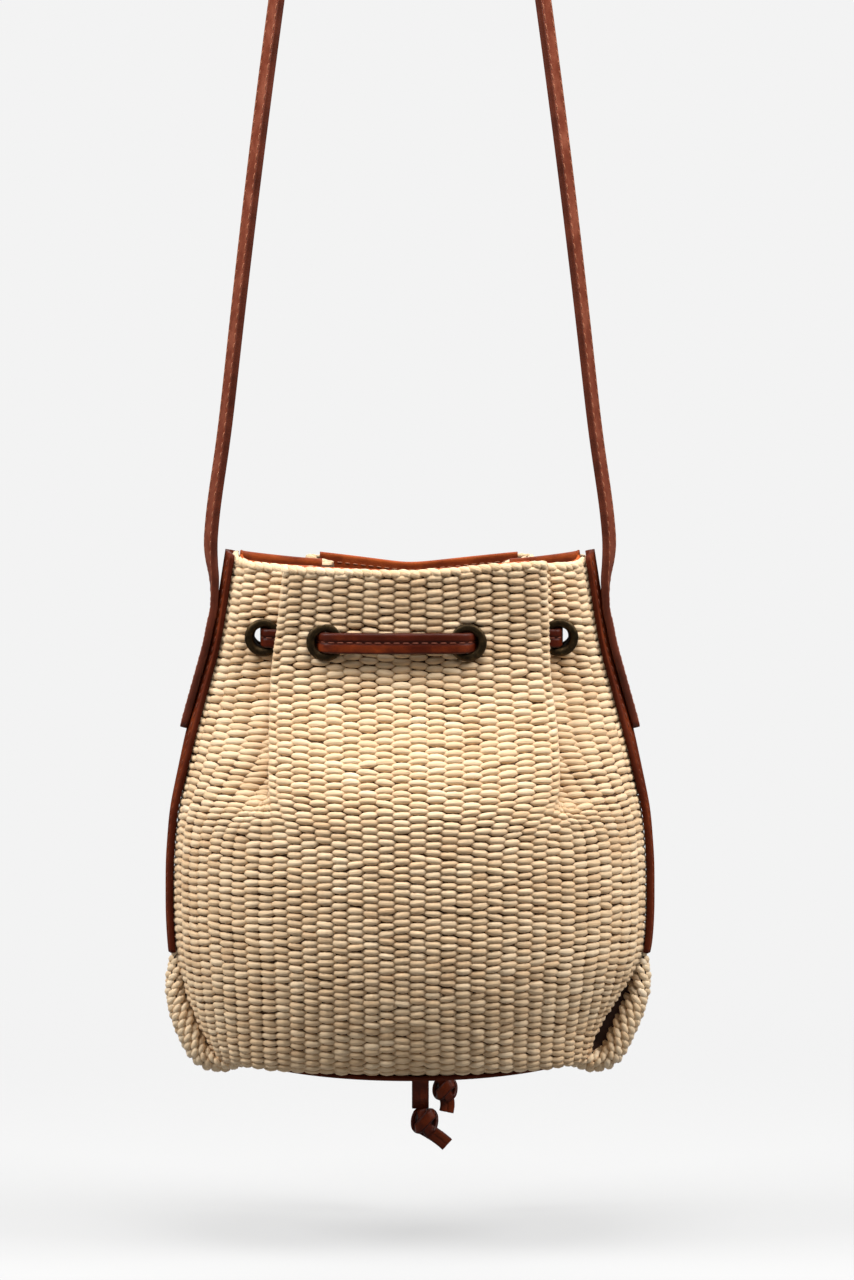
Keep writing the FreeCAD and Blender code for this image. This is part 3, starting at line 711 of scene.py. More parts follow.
def bead_shapes(count, length, width, rise, turn, dive=1.2):
    """Local along, down and up positions of lens-shaped strands, one row per strand."""
    s = BEAD_STATIONS[None, :, None]
    angle = (np.arange(BEAD_AROUND) / BEAD_AROUND * 2 * math.pi)[None, None, :]
    full = np.maximum((1 - np.abs(s) ** 2.1) ** 0.95, 0.1)
    size = lambda value: np.broadcast_to(value, (count,))[:, None, None]
    round_cos = np.sign(np.cos(angle)) * np.abs(np.cos(angle)) ** 0.85
    lift = np.where(np.sin(angle) > 0, np.abs(np.sin(angle)) ** 0.85 * size(rise),
                    -np.abs(np.sin(angle)) * 0.9)
    along = s * size(length) / 2 + 0 * angle
    down = full * round_cos * size(width) / 2
    up = full * lift - dive * np.abs(s) ** 2.6
    cos, sin = np.cos(size(turn)), np.sin(size(turn))
    return along * cos - down * sin, along * sin + down * cos, up


def beads(name, wall, across, row, length, width, rise, turn, base=-1.85):
    """A piece of woven strands, each laid on the wall about its own centre."""
    count = len(across)
    along, down, up = bead_shapes(count, length, width, rise, turn)
    stretch = wall.sample(np.gradient(wall.runs, axis=0), across, row)[:, None, None]
    spread = np.linalg.norm(np.gradient(wall.points, axis=1), axis=2)
    spread = np.clip(wall.sample(spread, across, row), 0.6, 1.0)[:, None, None]
    points = wall.at(across[:, None, None] + along / spread,
                     row[:, None, None] + down / np.maximum(stretch, 0.4), base + up)
    points = points.reshape(count, -1, 3)
    points, inside = clear_of_holes(points, wall.name)
    kept = ~inside.all(axis=1)
    points, count = points[kept], int(kept.sum())
    tone = np.clip(0.42 + 0.075 * rng.standard_normal(count), 0.1, 0.8)
    s = np.broadcast_to(BEAD_STATIONS[:, None], (len(BEAD_STATIONS), BEAD_AROUND)).ravel()
    spot = np.tile(np.arange(BEAD_AROUND), len(BEAD_STATIONS))
    seed = rng.uniform(0, 500, count)
    fibre = np.stack([np.broadcast_to(s * 1.1, (count, len(s))),
                      np.broadcast_to(np.cos(spot / BEAD_AROUND * 2 * math.pi) * 3.4,
                                      (count, len(s))),
                      np.broadcast_to(seed[:, None], (count, len(s)))], -1)
    # Strand ends are made darker: painted shade where they dive under their neighbours.
    tip_shade = 0.10 * np.abs(s) ** 3
    quads, caps = tube_faces(len(BEAD_STATIONS), BEAD_AROUND)
    if wall.side < 0:
        quads, caps = quads[:, ::-1], caps[:, ::-1]
    faces = off_the_holes(points.reshape(-1, 3), repeated(points, [quads, caps], count),
                          wall.name)
    return mesh_object(name, points, faces, STRAW,
                       {"tone": (tone[:, None] - tip_shade[None]).ravel(),
                        "fibre": fibre.reshape(-1, 3)})


def strand_places(wall):
    """Centres of all the strands of a wall, as across, row, and whether on its rim."""
    across, row, rim = [], [], []
    for index in range(COLUMN_COUNT):
        at = (index - (COLUMN_COUNT - 1) / 2) * COLUMN_PITCH
        runs = wall.runs[:, int(round(at + SEAM))]
        start = np.interp(0.0, ROWS, runs) + 3.2 + (index % 2) * ROW_PITCH / 2
        spots = np.arange(start, runs[-1] - 0.5, ROW_PITCH)
        rows = np.interp(spots, runs, ROWS)
        ok = wall.sample(wall.valid.astype(float), np.full(len(rows), at + np.sign(at) * 2.5),
                         rows) > 0.9
        across += [at] * int(ok.sum())
        row += list(rows[ok])
        rim += [False] * int(ok.sum())
    for at in np.arange(-SEAM + 2.5, SEAM - 2, COLUMN_PITCH * 0.62):
        across.append(at)
        row.append(1.35 if wall.side < 0 else 2.5)
        rim.append(True)
    return np.array(across), np.array(row), np.array(rim)


def region_of(across, row):
    """0 the centre, -1 and 1 the upper pleats, -2 and 2 the side sections."""
    hand = np.where(across < 0, -1, 1)
    centre = np.abs(across) <= OUTER_FOLD + 1.5
    pleat = ~centre & (np.abs(across) < INNER_FOLD) & (row < PLEAT_END)
    return np.where(centre, 0, np.where(pleat, hand, 2 * hand))


# Heights of the outer and inner face of each layer over the wall's outer surface.
CORE_LAYER, LINING_LAYER = (-1.75, -3.3), (-4.0, -4.7)
FACING_OUTER, FACING_INNER = -3.4, -4.8
GRID_TOP, GRID_END = 1.4, 247.5
REGIONS = {0: "centre", -1: "left_pleat", 1: "right_pleat", -2: "left_side", 2: "right_side"}
PLEAT_END = 104.0


def attach(piece, region):
    """Lets a side section move with the bag; centre and pleat pieces stay fixed, on no body."""
    if region == 0:
        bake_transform(piece)
    elif abs(region) == 1:
        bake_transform(piece)
    else:
        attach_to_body(piece, "bag")


def grid_faces(rows, columns, keep):
    """Quads of a grid whose cells are kept, as an inner and an outer layer with edges."""
    index = np.arange(rows * columns).reshape(rows, columns)
    cell = np.stack([index[:-1, :-1], index[:-1, 1:], index[1:, 1:], index[1:, :-1]], -1)
    front = cell[keep]
    layer = rows * columns
    faces = [front, front[:, ::-1] + layer]
    edges = {}
    for quad in front:
        for a, b in zip(quad, np.roll(quad, -1)):
            if (b, a) in edges:
                del edges[(b, a)]
            else:
                edges[(a, b)] = True
    rim = np.array([(b, a, a + layer, b + layer) for a, b in edges])
    faces.append(rim)
    return faces


def layer_piece(name, wall, across, rows, outer, inner, material, shade=None):
    """A sheet between two depths under the wall's surface, pierced by the eyelets."""
    grid_across, grid_row = np.meshgrid(across, rows)
    top = wall.at(grid_across, grid_row, np.broadcast_to(outer, grid_row.shape))
    low = wall.at(grid_across, grid_row, np.broadcast_to(inner, grid_row.shape))
    top, inside = clear_of_holes(top, wall.name)
    low, _ = clear_of_holes(low, wall.name)
    valid = wall.sample(wall.valid.astype(float), grid_across, grid_row) > 0.5
    bad = inside | ~valid
    keep = ~(bad[:-1, :-1] & bad[1:, :-1] & bad[:-1, 1:] & bad[1:, 1:])
    points = np.concatenate([top.reshape(-1, 3), low.reshape(-1, 3)])
    faces = grid_faces(len(rows), len(across), keep)
    if wall.side < 0:
        faces = [group[:, ::-1] for group in faces]
    faces = off_the_holes(points, faces, wall.name)
    used = np.zeros(len(points), bool)
    for group in faces:
        used[group.ravel()] = True
    renumber = np.cumsum(used) - 1
    faces = [renumber[group] for group in faces]
    attributes = {}
    if shade is not None:
        shade = np.broadcast_to(shade(grid_across, grid_row), grid_row.shape).ravel()
        attributes["shade"] = np.concatenate([shade, shade])[used]
    return mesh_object(name, points[used], faces, material, attributes)


# Length, width and rise of the strands: at the rim, elsewhere, and how much they vary.
STRAND_SIZES = ((8.2, 11.6, 0.05), (3.9, 3.75, 0.05), (1.95, 1.9, 0.06))
RIM_SLANT = 0.42
STRAW_NODES = {
    ("front", 0): ["front_lip_panel"], ("back", 0): ["back_lip_panel"],
    ("front", -1): ["front_left_pleat"], ("front", 1): ["front_right_pleat"],
    ("back", -1): ["back_left_pleat"], ("back", 1): ["back_right_pleat"],
    ("front", -2): ["front_panel"], ("back", -2): ["back_panel"],
}
for name, wall in walls.items():
    across, row, rim = strand_places(wall)
    region = region_of(across, row)
    total = len(across)
    length, width, rise = [np.where(rim, at_rim, inside) * (1 + vary * rng.standard_normal(total))
                           for at_rim, inside, vary in STRAND_SIZES]
    turn = np.radians(4.0) * rng.standard_normal(total) + np.where(rim, RIM_SLANT, 0.0)
    row = row + 0.16 * rng.standard_normal(total)
    for code, label in REGIONS.items():
        part = region == code
        piece = beads(f"weave_{name}_{label}", wall, across[part], row[part], length[part],
                      width[part], rise[part], turn[part])
        attach(piece, code)
        if (name, code) in STRAW_NODES:
            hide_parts(*STRAW_NODES[(name, code)])
    folded, sides = (OUTER_FOLD, INNER_FOLD + 0.1, 1.3), (INNER_FOLD, SEAM + 0.1, 1.5)
    mirrored = {1: lambda span: span, -1: lambda span: (-span[1] + 0.1, -span[0] + 0.1, span[2])}
    spans = {"centre": (0, (-OUTER_FOLD, OUTER_FOLD + 0.1, 1.5), (GRID_TOP, GRID_END))}
    for label, step, span, rows in (("pleat", 1, folded, (GRID_TOP, PLEAT_END + 2)),
                                    ("side", 2, sides, (GRID_TOP, GRID_END)),
                                    ("belly", 2, folded, (PLEAT_END, GRID_END))):
        for hand, side in HANDS:
            spans[f"{side}_{label}"] = (hand * step, mirrored[hand](span), rows)
    # The core layers take the darkened straw, painted shade seen between the strands.
    for label, (code, span, rows) in spans.items():
        piece = layer_piece(f"core_{name}_{label}", wall, np.arange(*span),
                            np.arange(*rows, 2.0), *CORE_LAYER, CORE_IN_PAINTED_SHADE)
        attach(piece, code)

# ---------------------------------------------------------------- facing and lining
FACING_HEIGHT = 56.0
STITCH_ROW = 2.8


def facing_shade(across, row):
    """Paler along the cut edge at the rim."""
    return 0.32 * np.exp(-((row + 0.6) / 0.8) ** 2) - 0.04


facing_spans = {"centre": (-53.0, 53.0, 0), "left": (-134.5, -90.0, -2), "right": (90.0, 134.5, 2)}
FACING_NODES = {"front_centre": ["front_lip_facing"], "back_centre": ["back_lip_facing"],
                "front_left": ["left_side_facing"], "front_right": ["right_side_facing"]}
for name, wall in walls.items():
    for label, (low, high, code) in facing_spans.items():
        columns = np.linspace(low, high, int((high - low) / 1.5))
        top = -0.8 if name == "front" else (-1.2 if code == 0 else -1.8)
        rows = np.concatenate([[top, top + 0.3, 0.0], np.arange(1.0, FACING_HEIGHT + 0.1, 1.5)])
        edge = 0.35 * (rows[:, None] < top + 0.1)
        piece = layer_piece(f"facing_{name}_{label}", wall, columns, rows,
                            FACING_OUTER - edge, FACING_INNER + edge, FACING, facing_shade)
        line = wall.at(columns, STITCH_ROW, FACING_INNER)
        inward = -wall.sample(wall.normals, columns, np.full(len(columns), STITCH_ROW))
        thread = stitches(f"facing_stitches_{name}_{label}", line, inward, THREAD, 3.6, 2.6, 0.3)
        for item in (piece, thread):
            placed(item, name + "_lip" if code == 0 else "bag", "facing_leather")
        if name + "_" + label in FACING_NODES:
            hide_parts(*FACING_NODES[name + "_" + label])
    for label, low, high, code, top, end in (("centre", -54.0, 54.0, 0, 54.0, 232.0),
                                             ("left", -134.0, -91.0, -2, 54.0, 118.0),
                                             ("right", 91.0, 134.0, 2, 54.0, 118.0),
                                             ("left_belly", -134.0, -54.0, -2, 118.0, 232.0),
                                             ("right_belly", 54.0, 134.0, 2, 118.0, 232.0)):
        columns = np.linspace(low, high, int((high - low) / 2.5))
        rows = np.arange(top, end + 0.1, 3.2)
        piece = layer_piece(f"lining_{name}_{label}", wall, columns, rows, *LINING_LAYER,
                            LINING)
        attach(piece, code)
        if name == "front" and code == 0:
            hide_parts("lining")

# ---------------------------------------------------------------- eyelets
EYELET_OUTLINE = [(4.6, -6.3), (5.3, -6.3), (5.3, -0.3), (8.1, -0.3), (8.4, -0.05), (8.5, 0.35),
                  (8.35, 0.85), (7.9, 1.2), (7.1, 1.42), (6.2, 1.4), (5.4, 1.15), (4.9, 0.65),
                  (4.65, 0.0), (4.6, -1.0)]


def lathe(name, frames, outline, material):
    """One piece of rings, each turned about its own hole."""
    segments = 48
    angle = np.arange(segments) / segments * 2 * math.pi
    parts = []
    for centre, normal in frames:
        right = unit(np.cross([0, 0, 1], normal))
        up = np.cross(normal, right)
        ring = [centre + normal * h + r * (np.cos(angle)[:, None] * right
                                           + np.sin(angle)[:, None] * up) for r, h in outline]
        parts.append(np.array(ring).reshape(-1, 3))
    quads = ring_faces(len(outline), segments)
    parts = np.array(parts)
    return mesh_object(name, parts, repeated(parts, [quads], len(parts)), material)


for label, frames, body in (("front_lip", holes[("front", "lip")], "front_lip"),
                            ("back_lip", holes[("back", "lip")], "back_lip"),
                            ("side", holes[("front", "side")] + holes[("back", "side")], "bag")):
    rings = lathe("rings_" + label, frames, EYELET_OUTLINE, BRONZE)
    placed(rings, body, "antique_bronze", label + "_eyelets")
for node, material in (("front_lip_washers", BRONZE), ("back_lip_washers", BRONZE),
                       ("side_washers", BRONZE), ("pleat_eyelets", BRONZE),
                       ("base_board", BOARD)):
    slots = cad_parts[node].data.materials
    slots.clear()
    slots.append(material)

# ---------------------------------------------------------------- drawstring
STRING_WIDTH, STRING_THICKNESS = 8.4, 2.6
RUN_OUT = 1.5 + STRING_THICKNESS / 2 + 0.5
STRING_SECTION = band_section(STRING_WIDTH, STRING_THICKNESS, (0.3,), 0.45)
STRING_SECTION[:, 2] += np.where(STRING_SECTION[:, 0] < 0.3, 0.02, -0.1)
# The stitch groove is darkened: painted shade in the groove.
STRING_SECTION[:, 2] -= 0.35 * np.exp(-((STRING_SECTION[:, 0] - 0.3) / 0.7) ** 2)
STRING_Z = RIM_Z - STRING_DEPTH


def string_piece(name, points, body, *nodes, swell=0.0):
    """A span of the flat drawstring, stitched along its middle on the outer face."""
    line = spline(points, 20)
    way = directions(line)
    wide = np.tile([0.0, 0.0, 1.0], (len(line), 1))
    face = unit(np.cross(way, wide))
    middle = line[len(line) // 2]
    if face[len(line) // 2] @ (middle * np.array([1, 1, 0])) < 0:
        face = -face
    wide = wide * (1 + swell * np.sin(np.linspace(0, math.pi, len(line))) ** 0.5)[:, None]
    piece = sweep(name, line, wide, face, STRING_SECTION, CORD)
    thread = stitches(name + "_stitches", line + face * (STRING_THICKNESS / 2 - 0.3)
                      + wide * 0.3, face, DARK_THREAD, 4.2, 3.1, 0.32)
    placed(thread, body, "cord_leather")
    return placed(piece, body, "cord_leather", *nodes)


(left_hole, left_normal), (right_hole, right_normal) = holes[("front", "lip")]
span_y = -(FOLDS["front"]["bulge"] + RUN_OUT - 0.2)


def out_of(hole, normal, way):
    """The string's way out of a hole and on along the span outside."""
    steps = ((-8.0, -7.5), (-4.5, -4.5), (1.6, -0.4), (RUN_OUT + 0.3, 4.2), (RUN_OUT, 11.0))
    return [hole + normal * rise + np.array([way * run, 0, 0]) for rise, run in steps]


string_piece("string_front", out_of(left_hole, left_normal, 1.0)
             + [(-16.0, span_y, STRING_Z), (4.0, span_y, STRING_Z)]
             + out_of(right_hole, right_normal, -1.0)[::-1],
             "front_lip", "drawstring_front", swell=0.14)
TIE_X, TIE_DEPTH, TIE_RADIUS = 9.5, 44.0, 7.0
for (hole, normal), end_x, label in zip(holes[("back", "lip")], (TIE_X - 6.0, TIE_X + 6.0),
                                        ("left", "right")):
    toward = np.sign(end_x - hole[0])
    outside = hole + normal * (RUN_OUT + 0.5) + np.array([toward * 1.2, 0, 0])
    points = [hole - normal * 7.5, hole - normal * 1.0, outside,
              outside + np.array([toward * 7.0, 0.3, -0.4]),
              (end_x - toward * 4, FOLDS["back"]["bulge"] + RUN_OUT + 1.6, STRING_Z - 1.5),
              (end_x + toward * 2, FOLDS["back"]["bulge"] + RUN_OUT + 3.0, STRING_Z - 4.0)]
    stood_for = ["drawstring_back"] if label == "left" else []
    string_piece("string_back_" + label, points, "back_lip", *stood_for)


def pleat_hole(name, hand):
    """Centre of the hole in a pleat and its normal towards the inside of the bag."""
    edge_x, edge_y, inner_x, inner_y = FOLDS[name][hand]
    side = OUTWARD[name]
    start = np.array([hand * (inner_x - 1.0), side * (inner_y + 0.8)])
    end = np.array([hand * (edge_x - 6.0), side * (edge_y - 6.0)])
    middle = (start + end) / 2 + np.array([0, side * 0.6])
    normal = unit([end[1] - start[1], start[0] - end[0]])
    if normal[0] * hand > 0:
        normal = -normal
    return np.array([*middle, STRING_Z]), np.array([*normal, 0.0])


for hand, label in HANDS:
    front_at, front_in = pleat_hole("front", hand)
    back_at, back_in = pleat_hole("back", hand)
    index = 0 if hand < 0 else 1
    front_side = holes[("front", "side")][index][0]
    back_side = holes[("back", "side")][index][0]
    points = [front_at + front_in * 4.2, front_at - front_in * 1.4,
              (front_side[0] - hand * 2, front_side[1] - RUN_OUT, STRING_Z),
              (front_side[0], front_side[1] - RUN_OUT + 2.0, STRING_Z),
              (front_side[0] + hand * 0.5, 0, STRING_Z),
              (back_side[0], back_side[1] + RUN_OUT - 2.0, STRING_Z),
              (back_side[0] - hand * 2, back_side[1] + RUN_OUT, STRING_Z),
              back_at - back_in * 5.0, back_at + back_in * 6.0]
    string_piece("string_" + label, points, "bag", "drawstring_" + label)
tie_knot = knot("tie_wrap", (TIE_X, 43.0, RIM_Z - TIE_DEPTH), TIE_RADIUS - 0.2, 2 * TIE_RADIUS - 2,
                CORD, axis=(0.2, 1.0, 0.1), strand=4.0)
placed(tie_knot, "back_lip", "cord_leather", "drawstring_tie")

for hand, data in TAILS.items():
    lean = np.sign(data["x"] - TIE_X)
    line = spline([(TIE_X + lean * 1.0, 42.6, RIM_Z - TIE_DEPTH),
                   (TIE_X + lean * 3.6, 43.6, RIM_Z - TIE_DEPTH - 4.5),
                   (data["x"], 43.0, RIM_Z - 51.0), (data["x"], 43.6, RIM_Z - 54.5)], 6)
    way = directions(line)
    wide = unit(np.cross([0.0, 1.0, 0.0], way))
    face = unit(np.cross(way, wide))
    face *= np.sign(face[:, 1:2])
    root = sweep("tie_end_" + hand, line, wide, face, TAIL_SECTION * np.array([0.93, 0.86, 1]),
                 CORD)
    placed(root, "back_lip", "cord_leather")

# ---------------------------------------------------------------- side strips


def side_x(row, hand):
    return np.interp(row, ROWS, HALF_WIDTH[hand])


for hand, label in HANDS:
    rows = np.arange(-0.8, SIDE_END + 0.1, 2.0)
    section = band_section(14.0, 2.4, (-4.6, 4.6), 0.3, 22)
    reach = np.abs(section[:, 0])

    def strip_at(across, height):
        """Points round the seam: across is negative on the front."""
        name = "front" if across < 0 else "back"
        return walls[name].at(hand * (SEAM - abs(across)), rows, height)

    points = np.stack([strip_at(across, 2.0 + rise - 0.9 * (abs(across) / 7.0) ** 2)
                       for across, rise in section[:, :2]], 1)
    quads, caps = tube_faces(len(rows), len(section))
    piece = mesh_object(label + "_seam_strip", points, [quads, caps], TRIM,
                        {"shade": np.tile(section[:, 2], len(rows))})
    placed(piece, "bag", "trim_leather", label + "_side_strip")
    for edge, tag in ((-4.6, "front"), (4.6, "back")):
        line = strip_at(edge, 2.0 + 1.0 - 0.9 * 0.43)
        face = unit(strip_at(edge, 3.0) - strip_at(edge, 2.0))
        thread = stitches(f"{label}_strip_stitches_{tag}", line, face, DARK_THREAD, 4.4, 3.2, 0.3)
        placed(thread, "bag", "trim_leather")

# ---------------------------------------------------------------- shoulder strap
PIVOT_DEPTH, STRAP_WIDTH, STRAP_THICKNESS = 18.0, 11.0, 3.4
PIVOT_X, LEAN, BOW, STRAIGHT = 89.1, 0.0961, 0.0000818, 12.0
STRAP_SPREAD, STRAP_TUCK = 1.7, 1.2
LOOP_HEIGHT = 480.0 + PIVOT_DEPTH + STRAP_THICKNESS / 2


def leg(height):
    rise = np.maximum(height - STRAIGHT, 0.0)
    return PIVOT_X - LEAN * rise - BOW * rise * rise, math.atan(LEAN + 2 * BOW * rise)


def loop_top(height):
    x, slope = leg(height)
    return height - x / math.cos(slope) * math.sin(slope) + x / math.cos(slope)


low, high = 300.0, LOOP_HEIGHT
for _ in range(50):
    middle = (low + high) / 2
    low, high = (middle, high) if loop_top(middle) < LOOP_HEIGHT else (low, middle)
ROUND_START = low
round_x, round_slope = leg(ROUND_START)
round_radius = round_x / math.cos(round_slope)
round_height = LOOP_HEIGHT - round_radius


def strap_twist(height):
    twist = 21.0 * smoothstep(height, -8, 22) + 7.0 * smoothstep(height, 40, 300)
    return math.radians(float(twist * (1 - smoothstep(height, 330, LOOP_HEIGHT + 20))))


stations = []
for height in list(np.arange(0, 40, 2.5)) + list(np.arange(40, ROUND_START, 6.0)):
    x, slope = leg(height)
    x += STRAP_SPREAD * math.exp(-((height - 32) / 30) ** 2) * float(smoothstep(height, 0, 20))
    x -= STRAP_TUCK * (1 - float(smoothstep(height, 4, 26)))
    stations.append((x, height, slope, strap_twist(height)))
for share in np.linspace(0, 1, 14):
    lean = round_slope + (math.pi / 2 - round_slope) * share
    stations.append((round_radius * math.cos(lean), round_height + round_radius * math.sin(lean),
                     lean, strap_twist(ROUND_START) * (1 - share)))
centres, wides, faces_out = [], [], []


def strap_frame(x, height, lean, twist):
    outward = np.array([math.cos(lean), 0, math.sin(lean)])
    centres.append([x, 0, RIM_Z - PIVOT_DEPTH + height])
    faces_out.append(outward * math.cos(twist) + np.array([0, -math.sin(twist), 0]))
    wides.append(np.array([0, math.cos(twist), 0]) + outward * math.sin(twist))


def strap_end(hand):
    """The sewn end on the side strip, from its foot up to the pivot."""
    found = []
    for row in np.arange(79.0, 22.0, -3.0):
        slope = (side_x(row + 2, hand) - side_x(row - 2, hand)) / 4
        x = side_x(row, hand) + 3.0 + STRAP_THICKNESS / 2
        ease = float(smoothstep(row, 20, 34))
        x = ease * x + (1 - ease) * (PIVOT_X - STRAP_TUCK)
        found.append((x, PIVOT_DEPTH - row, math.atan(slope) * ease, 0.0))
    return found


right_half = strap_end(1) + stations
left_half = strap_end(-1) + stations[:-1]
for station in right_half:
    strap_frame(*station)
for x, height, lean, twist in left_half[::-1]:
    strap_frame(-x, height, math.pi - lean, twist)
centres, wides, faces_out = (np.array(values) for values in (centres, wides, faces_out))
half = len(right_half)
groove = STRAP_WIDTH / 2 - 1.7
section = band_section(STRAP_WIDTH, STRAP_THICKNESS, (-groove, groove), 0.35, 20)
section[:, 2] += np.where(np.abs(section[:, 0]) > STRAP_WIDTH / 2 - 0.9, -0.12, 0.0)
strap_pieces = [sweep("strap_leather_loop", centres, wides, faces_out, section, STRAP)]
for edge, tag in ((-groove, "front"), (groove, "back")):
    line = centres + wides * edge + faces_out * (STRAP_THICKNESS / 2 - 0.25)
    strap_pieces.append(stitches("strap_stitches_" + tag, line, faces_out, THREAD, 4.5, 3.3,
                                 0.36))
for piece in strap_pieces:
    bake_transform(piece)
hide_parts("shoulder_strap", "left_strap_end", "right_strap_end")

# ---------------------------------------------------------------- folded bottom corners
EAR_LINE = {
    -1: [(103.8, 183.0), (106.0, 194.0), (103.6, 208.0), (99.0, 219.5), (93.6, 230.2),
         (82.0, 232.0), (70.0, 229.5)],
    1: [(103.0, 183.0), (104.6, 194.0), (100.4, 208.0), (95.0, 219.5), (90.2, 230.2),
        (80.0, 232.0), (68.0, 229.5)],
}
for hand, label in HANDS:
    control = [(hand * x, 2.5, RIM_Z - depth) for x, depth in EAR_LINE[hand]]
    line = evenly(spline(control, 12), ROW_PITCH * 0.98)
    way = directions(line)
    outward = unit(np.cross(way, [0, 1.0, 0]))
    outward *= np.sign(outward[0, 0] * hand)
    share = np.linspace(0, 1, len(line))
    thick = 3.4 + 3.4 * np.sin(math.pi * np.clip(share * 0.85 + 0.05, 0, 1)) ** 0.7
    thick -= 2.2 * smoothstep(share, 0.78, 1.0)
    deep = 7.0 + 6.0 * smoothstep(share, 0.0, 0.7)
    core_section = np.array([(math.sin(a), math.cos(a), 0.0)
                             for a in np.linspace(0, 2 * math.pi, 28, endpoint=False)])
    spread = np.stack([np.zeros(len(line)), deep, np.zeros(len(line))], 1)
    outer_side = (core_section[None, :, 1:2] > 0)
    bulk = np.where(outer_side, (thick * 0.74)[:, None, None], (thick + 9.0)[:, None, None])
    flat = 0.42 + 0.43 * smoothstep(core_section[:, 1], -0.6, 0.2)[None, :, None]
    points = (line[:, None] + spread[:, None] * core_section[None, :, :1] * flat
              + outward[:, None] * bulk * core_section[None, :, 1:2])
    quads, caps = tube_faces(len(line), len(core_section))
    # The dark core stands for the shade in the gap beside the corner.
    core = mesh_object(label + "_corner_core", points, [quads, caps], CORNER_GAP_PAINTED_SHADE)
    placed(core, "bag", "woven_straw")
    # Strands wrap the fold from front to back, row by row.
    strands, tones, fibres = [], [], []
    around = np.arange(BEAD_AROUND) / BEAD_AROUND * 2 * math.pi
    for index in range(len(line)):
        girth = math.pi * math.sqrt((deep[index] ** 2 + thick[index] ** 2) / 2)
        count = max(int(round(girth / COLUMN_PITCH)), 3)
        for spot in range(-2, count + 3):
            middle = math.pi * (spot + 0.5 * (index % 2)) / count
            angle = middle + BEAD_STATIONS * (math.pi / count) * 0.8 - math.pi / 2
            ring = []
            full = np.maximum(np.maximum(1 - BEAD_STATIONS ** 2, 0) ** 0.72, 0.12)
            for station, bend in enumerate(angle):
                base = (line[index] + np.array([0, deep[index], 0]) * math.sin(bend)
                        + outward[index] * thick[index] * math.cos(bend))
                normal = unit(np.array([0, math.sin(bend) / deep[index], 0])
                              + outward[index] * math.cos(bend) / thick[index])
                lift = -1.5 - 0.8 * abs(BEAD_STATIONS[station]) ** 3
                tilt = way[index] * BEAD_STATIONS[station] * 1.7
                ring.append(base + tilt + normal * (lift + full[station] * np.where(
                    np.sin(around) > 0, 1.7, 0.9) * np.sin(around))[:, None]
                    + way[index] * (full[station] * np.cos(around) * 2.0)[:, None])
            strands.append(np.array(ring).reshape(-1, 3))
            # The corner strands get a paler tone than the body's strands: painted light on the
            # corners.
            tones.append(np.full(len(strands[-1]), 0.56 + 0.1 * rng.standard_normal()))
            fibres.append(np.stack([np.repeat(BEAD_STATIONS * 1.1, BEAD_AROUND),
                                    np.tile(np.cos(around) * 3.4, len(BEAD_STATIONS)),
                                    np.full(len(strands[-1]), rng.uniform(0, 500))], -1))
    strands = np.array(strands)
    quads, caps = tube_faces(len(BEAD_STATIONS), BEAD_AROUND)
    piece = mesh_object(label + "_corner_weave", strands,
                        repeated(strands, [quads, caps], len(strands)), STRAW,
                        {"tone": np.concatenate(tones), "fibre": np.concatenate(fibres)})
    placed(piece, "bag", "woven_straw", label + "_corner")

# ---------------------------------------------------------------- leather base
BASE_Z = RIM_Z - BAG_HEIGHT
BASE_HALF_WIDTH, BASE_HALF_DEPTH = 74.0, 44.7
BASE_LIFT, GROOVE_SCALE, HUB_SCALE = 2.6, 0.945, 1 - 82 / 88
# Share of the half width and rise, round the section of the sole.
angle = np.linspace(0, 2 * math.pi, 128, endpoint=False)
loop_points, tint = [], []
profile = [(HUB_SCALE, 0.30), (0.4, 0.30), (0.7, 0.25), (0.88, 0.12), (0.93, 0.05),
           (GROOVE_SCALE, 0.22), (0.96, 0.05), (0.99, 0.0), (1.0, 0.5), (1.0, 1.6), (0.992, 2.15),
           (0.95, 2.2), (0.7, 2.2), (HUB_SCALE, 2.2)]
for scale, rise in profile:
    lift = BASE_LIFT * np.abs(scale * np.cos(angle)) ** 2
    loop_points.append(np.stack([BASE_HALF_WIDTH * scale * np.cos(angle),
                                 BASE_HALF_DEPTH * scale * np.sin(angle),
                                 BASE_Z + rise * (1 - 0.2 * lift) + lift], 1))
    tint.append(np.full(len(angle), -0.1 if scale > 0.985 else 0.0))
quads, caps = tube_faces(len(profile), len(angle))
base = mesh_object("base_leather_sole", np.array(loop_points), [quads, caps], TRIM,
                   {"shade": np.concatenate(tint)})
placed(base, "bag", "trim_leather", "leather_base")
line = np.stack([BASE_HALF_WIDTH * GROOVE_SCALE * np.cos(angle),
                 BASE_HALF_DEPTH * GROOVE_SCALE * np.sin(angle),
                 BASE_Z + 0.2 + BASE_LIFT * (GROOVE_SCALE * np.cos(angle)) ** 2], 1)
thread = stitches("base_stitches", line, np.tile([0.0, 0.0, -1.0], (len(line), 1)),
                  DARK_THREAD, 4.2, 3.0, 0.34)
placed(thread, "bag", "trim_leather")

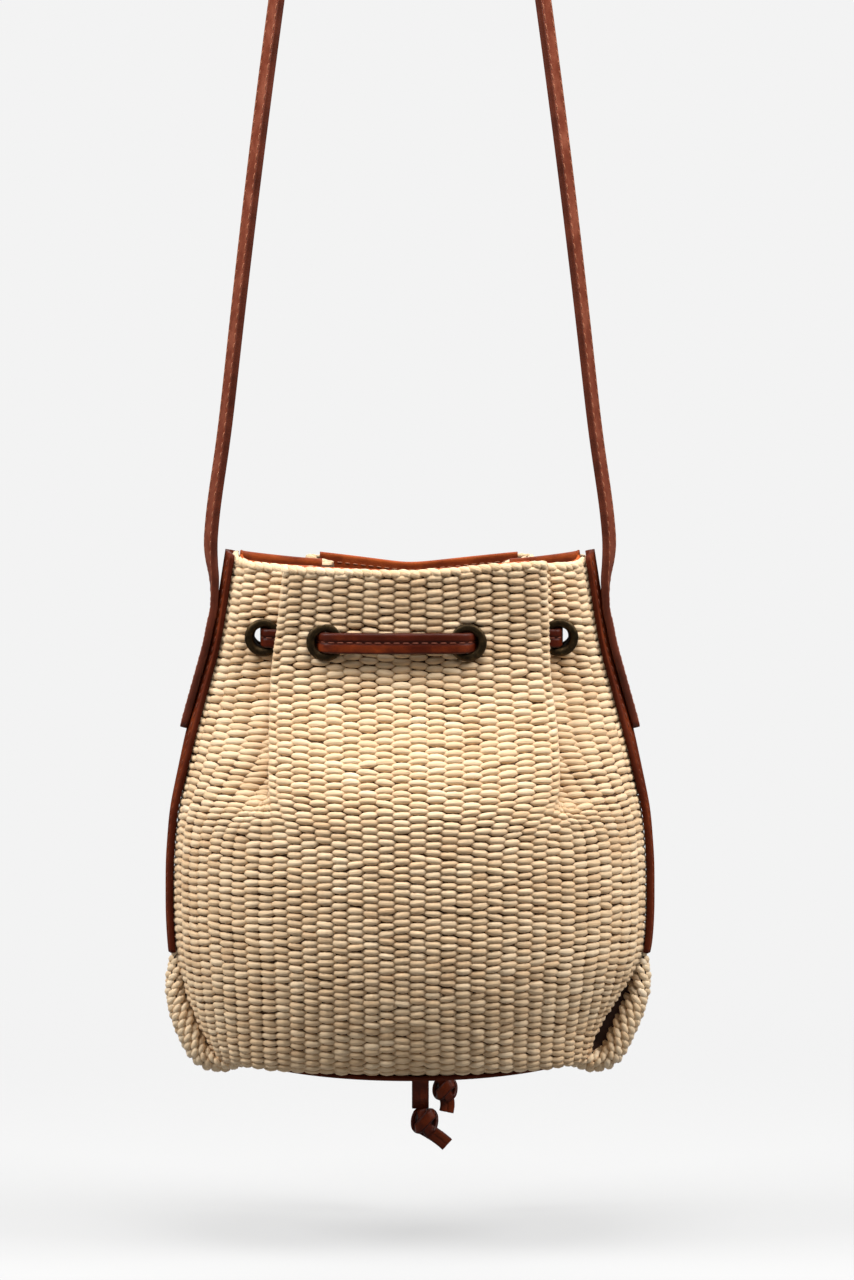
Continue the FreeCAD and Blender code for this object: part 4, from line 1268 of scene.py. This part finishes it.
# ---------------------------------------------------------------- studio
FLOOR_Z = (RIM_Z - 316.0) * MM
FLOOR_RADIUS = 0.9
spokes = 64
points = [(0.0, 0.0, FLOOR_Z / MM)]
for radius in (0.2, 0.4, 0.6, FLOOR_RADIUS):
    for spoke in range(spokes):
        bend = 2 * math.pi * spoke / spokes
        points.append((radius / MM * math.cos(bend), radius / MM * math.sin(bend), FLOOR_Z / MM))
triangles = [(0, 1 + k, 1 + (k + 1) % spokes) for k in range(spokes)]
quads = [(1 + r * spokes + k, 1 + (r + 1) * spokes + k, 1 + (r + 1) * spokes + (k + 1) % spokes,
          1 + r * spokes + (k + 1) % spokes) for r in range(3) for k in range(spokes)]
look = Look("pale_floor")
for key, value in (("Base Color", (0.5, 0.5, 0.5, 1)), ("Roughness", 0.9),
                   ("Specular IOR Level", 0.0)):
    look.put(value, look.shader.inputs[key])
away = look.add("ShaderNodeVectorMath")
away.operation = "LENGTH"
look.put(look.place, away.inputs[0])
floor = mesh_object("floor", points, [np.array(triangles), np.array(quads)], look.material)
floor.data.transform(Matrix.Translation((0, 0, -FLOOR_Z)))
floor.location.z = FLOOR_Z
# The floor fades out into the background away from the bag's shadow.
fade = look.add("ShaderNodeMapRange")
fade.interpolation_type = "SMOOTHSTEP"
for key, value in (("From Min", 0.15), ("From Max", 0.7), ("To Min", 0.66),
                   ("Value", away.outputs["Value"])):
    look.put(value, fade.inputs[key])
mixer = look.add("ShaderNodeMixShader", Fac=fade.outputs["Result"])
look.put(look.shader.outputs["BSDF"], mixer.inputs[1])
look.put(look.add("ShaderNodeBsdfTransparent").outputs["BSDF"], mixer.inputs[2])
look.put(mixer.outputs["Shader"], look.tree.nodes["Material Output"].inputs["Surface"])

world = bpy.data.worlds.new("studio")
world.use_nodes = True
sky = Nodes(world.node_tree)
background = world.node_tree.nodes["Background"]
rays = sky.add("ShaderNodeLightPath").outputs["Is Camera Ray"]
sky.put(rgb(243, 243, 243), background.inputs["Color"])
sky.put(sky.scaled(rays, 0.89, 0.11), background.inputs["Strength"])
bpy.context.scene.world = world


middle = Vector((0, 0, (RIM_Z - 110) * MM))
for name, place, size, power in (("left", (-1.0, -0.35, 0.95), 0.6, 22.0),
                                 ("right", (1.0, -0.35, 0.95), 0.6, 22.5),
                                 ("top", (0.0, -0.42, 1.55), 0.7, 20.5),
                                 ("back", (0.0, 1.2, 0.9), 0.9, 8.0)):
    data = bpy.data.lights.new(name, "AREA")
    data.shape, data.size, data.energy = "SQUARE", size, power
    light = bpy.data.objects.new(name, data)
    light.location = middle + Vector(place)
    light.rotation_euler = (middle - light.location).to_track_quat("-Z", "Y").to_euler()
    bpy.context.scene.collection.objects.link(light)
